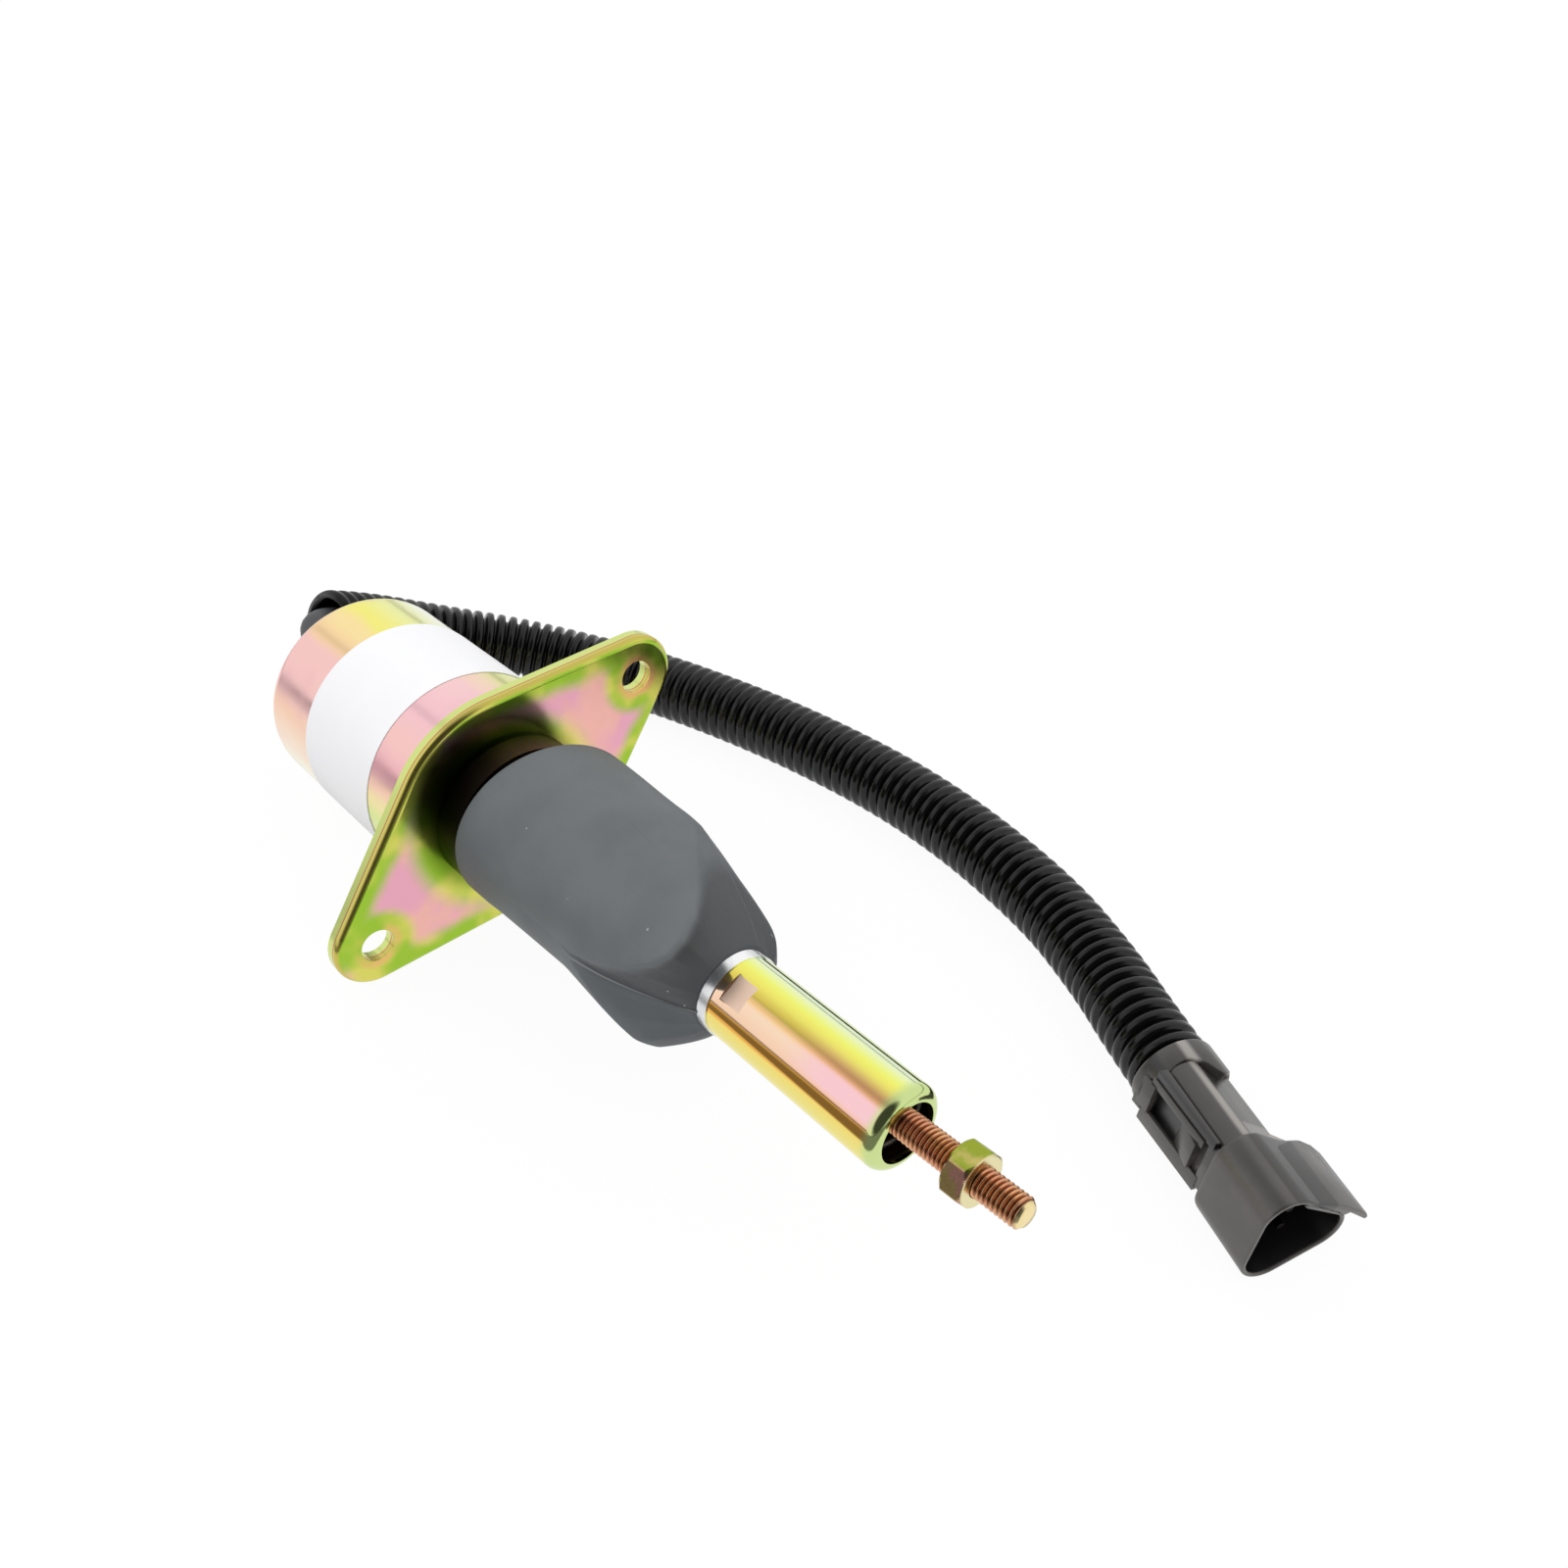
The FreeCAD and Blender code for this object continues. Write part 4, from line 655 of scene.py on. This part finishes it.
def conduit_radius(station):
    """Outside radius of the corrugated wall: flat-topped ribs with round shoulders."""
    place = (station / RIB_PITCH) % 1.0
    rise = 0.5 - 0.5 * math.cos(2 * math.pi * place)
    crest = eased(rise, 0.10, 0.42)
    crown = 0.16 * (1 - eased(rise, 0.40, 1.0))
    return CONDUIT_ROOT + (CONDUIT_RADIUS - CONDUIT_ROOT - crown) * crest


def make_cords():
    """The smooth lead from the can to the connector, and the corrugated conduit over it."""
    lead_route = [LEAD_EXIT + ALONG * 4.0, LEAD_EXIT - ALONG * 6.2, REAR_TURN] + SHARED_ROUTE
    lead_route.append(CONNECTOR_ORIGIN + CONNECTOR_ALONG * 2.0)
    lead = route_curve("lead_cord", lead_route)
    lead_length = np.linalg.norm(np.diff(read_line(lead), axis=0), axis=1).sum()
    lead.data.bevel_depth = LEAD_RADIUS * MM
    lead.data.bevel_resolution = 8
    lead.data.use_fill_caps = True
    lead.data.materials.append(MATERIALS["lead_sheath"])
    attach(lead, "housing")
    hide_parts("lead_sheath")

    onward = (SHARED_ROUTE[0] - REAR_TURN).normalized()
    guide_route = [REAR_TURN + onward * 4.0] + SHARED_ROUTE
    guide_route.append(CONNECTOR_ORIGIN + CONNECTOR_ALONG * 3.4)
    guide = route_curve("conduit_line", guide_route)
    line = read_line(guide)
    bpy.data.objects.remove(guide)
    stations, points, sides, ups = frames_along(line, RIB_PITCH / ROWS_PER_RIB)
    last = len(stations) - 1
    # Forward along the ribs, and back along the smooth bore
    rows = [(index, conduit_radius(station)) for index, station in enumerate(stations)]
    rows += [(index, CONDUIT_BORE) for index in range(last, -1, -1)
             if index % ROWS_PER_RIB == 0 or index == last]
    around = 44
    turns = np.linspace(0.0, 2 * math.pi, around, endpoint=False)
    vertices = []
    for index, radius in rows:
        for turn in turns:
            across = sides[index] * math.cos(turn) + ups[index] * math.sin(turn)
            vertices.append(points[index] + across * radius)
    faces = ring_faces(len(rows), around, closed=True)
    conduit = new_piece("corrugated_conduit", vertices, faces, MATERIALS["conduit"])
    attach(conduit, "housing")
    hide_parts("conduit")


# Connector: a three-sided carrier and socket, and the collar that snaps over it
ARM_HEADINGS = (60.0, 180.0)


def three_sided(spread, corner, bend=8):
    """The outline round three equal circles, as places across the connector's axis."""
    outline = []
    for side in range(3):
        centre = math.radians(120.0 * side)
        for step in range(-bend, bend + 1):
            turn = centre + math.radians(60.0 * step / bend)
            outline.append((spread * math.cos(centre) + corner * math.cos(turn),
                            spread * math.sin(centre) + corner * math.sin(turn)))
    return outline


def lofted(rows):
    """Vertices and faces of a skin through rows of (ahead, spread, corner)."""
    vertices = []
    for ahead, spread, corner in rows:
        vertices += [connector_point(ahead, x, y) for x, y in three_sided(spread, corner)]
    return vertices, ring_faces(len(rows), len(vertices) // len(rows))


def block(heading, out, over, ahead):
    """A block on a flank, from pairs; the outer height may be a pair for rear and front."""
    low, high = out
    rear_high, front_high = high if isinstance(high, tuple) else (high, high)
    corners = []
    for station, top in ((ahead[0], rear_high), (ahead[1], front_high)):
        for reach in (low, top):
            for offset in over:
                corners.append(flank_point(station, reach, offset, heading))
    faces = [(0, 1, 3, 2), (4, 6, 7, 5), (0, 4, 5, 1), (2, 3, 7, 6), (0, 2, 6, 4), (1, 5, 7, 3)]
    return corners, faces


def joined(parts):
    """Several lists of vertices and faces as one."""
    vertices = []
    faces = []
    for corners, sides in parts:
        faces += [tuple(index + len(vertices) for index in side) for side in sides]
        vertices += corners
    return vertices, faces


def finish_moulding(name, parts, node, bevel):
    """A connector piece made of parts, with its edges rounded, in place of its node."""
    vertices, faces = joined(parts)
    piece = new_piece(name, vertices, faces, MATERIALS["connector_body"])
    edge = piece.modifiers.new("edges", "BEVEL")
    edge.width = bevel * MM
    edge.segments = 2
    edge.limit_method = "ANGLE"
    edge.angle_limit = math.radians(40.0)
    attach(piece, "housing")
    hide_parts(node)
    return piece


def make_catch():
    """The catch on the far flank: a bent plate whose rear end is rounded off."""
    outline = [(7.4, 5.2, 28.8), (8.2, 4.8, 28.4), (8.9, 1.0, 26.3), (9.75, -3.2, 25.0),
               (9.95, -7.5, 24.1), (9.9, -11.0, 24.4), (9.65, -13.3, 25.6), (9.1, -14.6, 27.2),
               (8.4, -14.4, 27.4), (8.9, -8.6, 26.0), (7.7, -7.4, 26.0), (7.2, 4.0, 28.2)]
    vertices = []
    # How far each row lies in, its station, and whether that is counted from the rear's outline
    for lower, ahead, follows in ((0.5, 0.0, 1), (0.0, 0.7, 1), (0.0, 40.2, 0), (0.15, 40.5, 0)):
        for out, over, rear in outline:
            vertices.append(flank_point(rear * follows + ahead, out - lower, over, CATCH_HEADING))
    around = len(outline)
    faces = ring_faces(4, around)
    faces.append(tuple(reversed(range(around))))
    faces.append(tuple(3 * around + step for step in range(around)))
    return vertices, faces


def make_web():
    """The slanting web between the carrier and the rear of the catch."""
    spots = [(20.8, 6.8, -4.6), (24.6, 6.8, 3.4), (28.2, 8.4, 4.6), (25.6, 9.5, -3.6),
             (28.2, 6.6, 4.6), (25.6, 6.6, -3.6)]
    vertices = [flank_point(ahead, out, over, CATCH_HEADING) for ahead, out, over in spots]
    return vertices, [(0, 1, 2, 3), (1, 4, 2), (0, 3, 5), (0, 5, 4, 1), (2, 4, 5, 3)]


def make_connector_body():
    """The carrier and the socket in one skin of (ahead, spread, corner), with catch and rails."""
    rows = [(4.2, 0.01, 0.01), (4.2, 4.2, 4.4), (4.6, 4.2, 4.85), (23.9, 4.2, 4.9),
            (24.1, 4.3, 5.1), (24.2, 5.0, 5.6), (24.6, 5.6, 5.85), (25.4, 5.7, 5.9),
            (40.1, 5.7, 5.9), (40.4, 5.7, 5.8), (40.5, 5.7, 5.5), (40.5, 5.7, 5.1),
            (40.3, 5.7, 4.85), (26.4, 5.7, 4.8), (26.0, 5.7, 4.4), (26.0, 0.01, 0.01)]
    parts = [lofted(rows), make_catch(), make_web()]
    for heading in ARM_HEADINGS:
        parts.append(block(heading, (6.6, (7.2, 8.7)), (-3.2, 3.4), (13.4, 19.8)))
        parts.append(block(heading, (6.6, 7.5), (-6.0, 5.6), (21.6, 24.4)))
    return finish_moulding("socket_body", parts, "connector_body", 0.18)


# Rows of the collar nearer the axis than this are its inside, and stop short of the front
INSIDE_COLLAR = 8.8


def make_collar():
    """The round collar, cut back where its top runs down to the rail, and its two arms."""
    around = 96
    # How far ahead the front edge reaches in each direction, in degrees from the horizontal
    front = [(0.0, 6.0), (27.0, 6.4), (41.0, 8.0), (58.0, 9.2), (66.0, 8.2), (75.0, 6.2),
             (93.0, 4.1), (112.0, 4.4), (133.0, 5.3), (143.0, 4.8), (150.0, 2.8), (175.0, 2.2),
             (190.0, 3.2), (206.0, 4.0), (230.0, 4.8), (270.0, 6.0), (360.0, 6.0)]
    rows = [(-0.5, 8.75, 0.0), (-0.5, 8.85, 0.0), (-0.3, 9.05, 0.0), (0.2, 9.2, 0.0),
            (-0.3, 9.2, 1.0), (-0.05, 9.1, 1.0), (0.0, 8.8, 1.0), (-0.2, 8.2, 1.0),
            (-0.2, 6.65, 1.0), (3.6, 6.65, 0.0), (3.6, 8.75, 0.0)]
    vertices = []
    for ahead, radius, share in rows:
        for step in range(around):
            local = 360.0 * step / around
            cut = from_table(front, (local + CONNECTOR_ROLL) % 360.0)
            if radius < INSIDE_COLLAR:
                cut = max(cut, 3.9)
            turn = math.radians(local)
            vertices.append(connector_point(ahead + cut * share, radius * math.cos(turn),
                                            radius * math.sin(turn)))
    parts = [(vertices, ring_faces(len(rows), around, closed=True))]
    for heading in ARM_HEADINGS:
        parts.append(block(heading, (6.6, (8.5, 7.7)), (-7.4, -5.4), (4.6, 23.2)))
        parts.append(block(heading, (6.6, (8.7, 8.1)), (-5.3, -3.4), (4.2, 20.9)))
        parts.append(block(heading, (6.6, (8.6, 7.6)), (3.5, 7.0), (3.6, 22.4)))
        parts.append(block(heading, (6.9, (9.0, 8.8)), (-3.5, 3.6), (2.0, 5.6)))
        parts.append(block(heading, (7.5, (9.0, 8.8)), (1.2, 4.6), (1.2, 3.6)))
    return finish_moulding("snap_collar", parts, "connector_collar", 0.22)


body = make_connector_body()
collar = make_collar()
make_cords()


# Boot: a barrel that folds in along three creases down to the bright ring
BOOT_FRONT = 80.2
# Direction round the axis, where the barrel ends, its radius there, and a point on the front
BOOT_EDGE = [
    (-88.0, 50.0, 19.9, 65.0, 15.8), (-75.0, 60.6, 20.3, 71.0, 15.2),
    (-63.0, 68.9, 20.3, 75.0, 14.6), (-50.0, 75.4, 20.3, 77.0, 14.2),
    (-39.0, 78.2, 20.3, 78.0, 14.0), (-28.0, 78.5, 20.3, 78.2, 14.0),
    (-14.0, 76.1, 20.3, 77.2, 13.8), (-1.6, 71.4, 20.3, 75.4, 13.8),
    (18.0, 61.8, 20.3, 71.2, 14.4), (29.7, 56.1, 20.3, 68.7, 15.0),
    (42.0, 51.4, 20.2, 67.5, 15.2), (50.0, 50.0, 20.2, 67.2, 15.2),
    (59.0, 48.0, 20.0, 64.0, 15.8), (75.0, 50.0, 19.4, 67.0, 16.0),
    (90.0, 61.0, 18.8, 74.4, 15.2), (105.0, 67.5, 18.8, 76.6, 14.2),
    (120.0, 69.0, 19.0, 77.0, 13.8), (138.0, 65.5, 19.3, 74.0, 14.0),
    (150.0, 57.0, 19.8, 69.0, 14.6), (163.0, 50.0, 19.8, 65.0, 15.2),
    (176.0, 59.0, 19.8, 71.0, 14.6), (190.0, 65.5, 19.7, 74.5, 14.2),
    (205.0, 69.0, 19.7, 76.2, 13.9), (220.0, 69.8, 20.0, 76.8, 13.7),
    (235.0, 68.5, 20.4, 76.2, 13.9), (250.0, 62.5, 20.3, 73.0, 14.6),
    (262.0, 55.0, 20.1, 68.0, 15.2), (272.0, 50.0, 19.9, 65.0, 15.8),
]
# By station: how far the boot's middle lies aside, and the barrel's radius
BOOT_SHIFT = [(6.0, 1.9), (20.0, 2.3), (45.0, 2.3), (60.0, 1.1), (74.0, 0.4), (80.2, 0.0)]
BOOT_RADII = [(6.0, 21.0), (15.0, 21.1), (29.0, 20.7), (45.0, 20.3), (80.0, 20.3)]


def boot_point(station, radius, turn):
    """A place on the boot, whose middle lies a little to one side of the axis."""
    shift = from_table(BOOT_SHIFT, station)
    lean = math.radians(59.0)
    centre = ALONG * station + (ABOVE * math.cos(lean) + BESIDE * math.sin(lean)) * shift
    return centre + ABOVE * radius * math.cos(turn) + BESIDE * radius * math.sin(turn)


def boot_profile(angle, edge, edge_radius, front, front_radius):
    """Stations and radii of the boot's outside in one direction, from its rear to the ring."""
    # The rear rim lies askew, with a rounded edge
    rear = 11.6 + 4.0 * math.cos(math.radians(angle - 66.0))
    rim = rear + 1.3
    rows = [(9.4, 17.6)]
    for step in range(5):
        t = math.pi / 2 * step / 4
        rows.append((rim - 1.3 * math.cos(t),
                     from_table(BOOT_RADII, rear) - 1.5 + 1.5 * math.sin(t)))
    leave = edge - 1.2
    for step in range(1, 29):
        station = rim + (leave - rim) * step / 28
        grown = from_table(BOOT_RADII, station)
        grown += (edge_radius - grown) * eased(station, edge - 24.0, edge - 2.0)
        rows.append((station, grown))
    # A tight bend at the barrel's edge, and a long one from there to the ring
    first = Vector((leave, edge_radius))
    corner = Vector((edge, edge_radius))
    middle = Vector((front, front_radius))
    goal = Vector((BOOT_FRONT, 8.9))
    onward = corner + (middle - corner).normalized() * 1.2
    for step in range(1, 7):
        t = step / 6
        rows.append(tuple(first * (1 - t) ** 2 + corner * 2 * t * (1 - t) + onward * t * t))
    pull = middle * 2 - (onward + goal) / 2
    for step in range(1, 19):
        t = step / 18
        rows.append(tuple(onward * (1 - t) ** 2 + pull * 2 * t * (1 - t) + goal * t * t))
    return rows


def make_boot():
    """The boot's wall, with a thin raised seam."""
    across_seam = [BOOT_SEAM + off for off in (-1.4, -0.9, -0.45, 0.0, 0.45, 0.9, 1.4)]
    angles = sorted(list(np.arange(-86.0, 270.0, 1.6)) + across_seam)
    columns = list(zip(*BOOT_EDGE))
    profiles = []
    for angle in angles:
        reading = (angle - BOOT_SEAM) % 360.0 + BOOT_SEAM
        edge, edge_radius, front, front_radius = [
            float(np.interp(reading, columns[0], column)) for column in columns[1:]]
        ridge = 0.32 * math.exp(-((angle - BOOT_SEAM) / 0.5) ** 2)
        profile = boot_profile(angle, edge, edge_radius, front, front_radius)
        profiles.append([(u, r + ridge * eased(u, 44.0, 52.0)) for u, r in profile])
    vertices = []
    for row in range(len(profiles[0])):
        for angle, profile in zip(angles, profiles):
            station, radius = profile[row]
            vertices.append(boot_point(station, radius, math.radians(angle)))
    faces = [face[::-1] for face in ring_faces(len(profiles[0]), len(angles))]
    boot = new_piece("rubber_boot", vertices, faces, MATERIALS["boot"])
    shell = boot.modifiers.new("wall", "SOLIDIFY")
    shell.thickness = 1.4 * MM
    shell.offset = -1.0
    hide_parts("boot")
    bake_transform(boot)


make_boot()


# Threaded rod and nut
THREAD_PITCH = 1.0
THREAD_DEPTH = 0.62
THREAD_RADIUS = 3.0
ROD_NECK = 2.7


def rod_point(distance, radius, turn):
    """A place round the pull rod's own axis, which leans from the plunger's."""
    spot = ROD_PIVOT + ROD_ALONG * distance
    return spot + ROD_ABOVE * radius * math.cos(turn) + BESIDE * radius * math.sin(turn)


def thread_radius(distance, turn):
    """The thread's radius: sharp roots and narrow flat crests that wind round the rod."""
    phase = (distance / THREAD_PITCH - turn / (2 * math.pi)) % 1.0
    wave = 1 - abs(2 * phase - 1)
    return THREAD_RADIUS - THREAD_DEPTH * (1 - max(0.0, min(1.0, (wave - 0.10) / 0.78)))


def make_rod():
    """The pull rod: a round head inside the sleeve, a neck and a thread with a coned end."""
    around = 40
    start, finish = 10.0, 60.8
    # The head and the neck behind the thread, as distances and radii
    rows = [(-2.0, 0.0), (-2.0, 6.2), (-1.6, 6.6), (1.6, 6.6), (2.0, 6.2), (2.0, ROD_NECK),
            (8.6, ROD_NECK)]
    steps = int((finish - start) / THREAD_PITCH * 8)
    distances = [start + (finish - start) * step / steps for step in range(steps + 1)]
    vertices = []
    for distance, radius in rows:
        for step in range(around):
            vertices.append(rod_point(distance, radius, 2 * math.pi * step / around))
    for distance in distances:
        for step in range(around):
            turn = 2 * math.pi * step / around
            run_out = eased(distance, start, start + 1.5)
            radius = ROD_NECK + (thread_radius(distance, turn) - ROD_NECK) * run_out
            end_cone = 2.15 + (finish - distance)
            vertices.append(rod_point(distance, min(radius, end_cone), turn))
    for radius in (1.0, 0.0):
        for step in range(around):
            vertices.append(rod_point(finish, radius, 2 * math.pi * step / around))
    total = len(vertices) // around
    rod = new_piece("threaded_rod", vertices, ring_faces(total, around), MATERIALS["pull_rod"])
    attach(rod, "rod_set")
    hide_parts("pull_rod")


NUT_TURN = math.radians(-5.0)
NUT_FLAT = 5.0


def nut_radius(turn):
    """Distance from the nut's axis to its hexagon, with corners slightly rounded."""
    step = math.pi / 3
    off = (turn - NUT_TURN + step / 2) % step - step / 2
    return min(NUT_FLAT / math.cos(off), NUT_FLAT / math.cos(step / 2) - 0.12)


def make_nut():
    """The hexagon nut, its corners turned down to a cone at both faces."""
    around = 96
    near, far = 46.1, 51.1
    # Distance, radius, and which way the corners' cone shifts the row
    rows = [(near + 0.45, 2.6, 0), (near, 3.15, 0), (near, 4.75, 0), (near + 0.1, 5.05, 0),
            (near + 0.5, 9.0, 1), (far - 0.5, 9.0, -1), (far - 0.1, 5.05, 0), (far, 4.75, 0),
            (far, 3.15, 0), (far - 0.45, 2.6, 0)]
    vertices = []
    for distance, radius, cone in rows:
        for step in range(around):
            turn = 2 * math.pi * step / around
            limit = nut_radius(turn)
            shift = cone * max(0.0, limit - 5.2) * 0.55
            vertices.append(rod_point(distance + shift, min(radius, limit), turn))
    nut = new_piece("hexagon_nut", vertices, ring_faces(len(rows), around, closed=True),
                    MATERIALS["jam_nut"], smooth=False)
    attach(nut, "rod_set")
    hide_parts("jam_nut")


def axis_point(station, radius, turn):
    """A place round the plunger's axis."""
    return ALONG * station + ABOVE * radius * math.cos(turn) + BESIDE * radius * math.sin(turn)


def make_spring(name, node, first, last, coil, wire, turns):
    """A coil of round wire between two stations, of a mean radius and a wire's thickness."""
    around = 10
    steps = int(turns * 40)
    vertices = []
    for row in range(steps + 1):
        share = row / steps
        turn = 2 * math.pi * turns * share
        station = first + (last - first) * share
        spot = axis_point(station, coil, turn)
        outward = (spot - axis_point(station, 0.0, 0.0)).normalized()
        for step in range(around):
            angle = 2 * math.pi * step / around
            vertices.append(spot + outward * wire / 2 * math.cos(angle)
                            + ALONG * wire / 2 * math.sin(angle))
    spring = new_piece(name, vertices, ring_faces(steps + 1, around), MATERIALS["spring"])
    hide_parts(node)
    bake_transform(spring)


make_rod()
make_nut()
make_spring("return_coil", "return_spring", 14.0, 57.0, 10.0, 1.8, 6.0)
make_spring("override_coil", "override_spring", 124.9, 96.4, 6.2, 1.5, 7.0)


# Floor and light
def make_floor():
    """A white floor that takes the part's shadow; reflections see their own brightness of it."""
    reach = 3.0
    mesh = bpy.data.meshes.new("floor")
    height = BENCH * MM
    mesh.from_pydata([(-reach, -reach, height), (reach, -reach, height), (reach, reach, height),
                      (-reach, reach, height)], [], [(0, 1, 2, 3)])
    floor = bpy.data.objects.new("floor", mesh)
    scene.collection.objects.link(floor)
    look = bpy.data.materials.new("floor_white")
    look.use_nodes = True
    tree = look.node_tree
    n = Nodes(tree)
    tree.nodes.remove(tree.nodes["Principled BSDF"])
    path = n.add("ShaderNodeLightPath")
    spot = n.add("ShaderNodeTexCoord").outputs["Object"]
    # In reflections the floor is bright near the part and dark beyond a line in front of it
    near = n.smooth(n.dot(spot, (-350.0, 1000.0, 0.0)), -118.0, -96.0)
    dusk = n.add("ShaderNodeMapRange", {"Value": n.dot(spot, (1.0, 0.0, 0.0)), "From Min": -0.16,
                                        "From Max": -0.06, "To Min": 0.58, "To Max": 0.20})
    mirrored = n.math("MAXIMUM", near, dusk.outputs["Result"])
    strength = n.math("MAXIMUM", mirrored, n.times(path.outputs["Is Camera Ray"], 1.045))
    seen = n.math("ADD", path.outputs["Is Camera Ray"], path.outputs["Is Glossy Ray"])
    seen = n.math("ADD", seen, path.outputs["Is Transmission Ray"], clamp=True)
    matt = n.add("ShaderNodeBsdfDiffuse", {"Color": (0.6, 0.6, 0.6, 1.0)})
    glow = n.add("ShaderNodeEmission", {"Color": (1.0, 1.0, 1.0, 1.0), "Strength": strength})
    both = n.add("ShaderNodeMixShader", {0: n.times(seen, 0.9), 1: matt.outputs[0],
                                           2: glow.outputs[0]})
    tree.links.new(both.outputs[0], tree.nodes["Material Output"].inputs[0])
    mesh.materials.append(look)


def grey(level):
    return (level, level, level, 1.0)


# Direction of a round dark patch in the light, which only shows in reflections
DARK_LENS = (0.58991019, -0.51330436, 0.62331742)


def make_world():
    """Two long soft boxes above the part with a soft gap between them, and a dark lens."""
    world = bpy.data.worlds.new("studio")
    world.use_nodes = True
    scene.world = world
    tree = world.node_tree
    n = Nodes(tree)
    direction = n.add("ShaderNodeTexCoord").outputs["Generated"]
    parts = n.add("ShaderNodeSeparateXYZ", {0: direction}).outputs
    degrees = n.times(n.math("ARCTAN2", parts["Y"], parts["Z"]), 180.0 / math.pi)
    # A soft gap between the boxes that is wide beside the part and a thin line behind it
    across = n.math("DIVIDE", n.math("ADD", degrees, 60.0), 120.0)
    beside = n.ramp(across, [(0.235, grey(1.0)), (0.29, grey(0.80)), (0.35, grey(0.55)),
                             (0.40, grey(0.46)), (0.455, grey(0.54)), (0.53, grey(0.70)),
                             (0.63, grey(0.88)), (0.77, grey(1.0))], "LINEAR")
    behind = n.ramp(across, [(0.34, grey(1.0)), (0.396, grey(0.72)), (0.45, grey(1.0))], "LINEAR")
    gap = n.mix(n.smooth(parts["X"], -0.50, -0.70), beside, behind)
    low = n.smooth(parts["Z"], -0.01, 0.06)
    lens = n.smooth(n.dot(direction, DARK_LENS), 0.86, 0.62)
    path = n.add("ShaderNodeLightPath")
    matt = n.math("SUBTRACT", 1.0, path.outputs["Is Glossy Ray"])
    lens = n.math("MAXIMUM", lens, matt)
    strength = n.raised(path.outputs["Is Diffuse Ray"], 0.55, 0.92)
    level = n.math("ADD", n.times(gap, low, lens, strength), 0.06)
    shown = n.math("MAXIMUM", level, path.outputs["Is Camera Ray"])
    background = tree.nodes["Background"]
    tree.links.new(shown, background.inputs["Strength"])
    background.inputs["Color"].default_value = (1.0, 1.0, 1.0, 1.0)


make_floor()
make_world()
scene.view_settings.view_transform = "Standard"
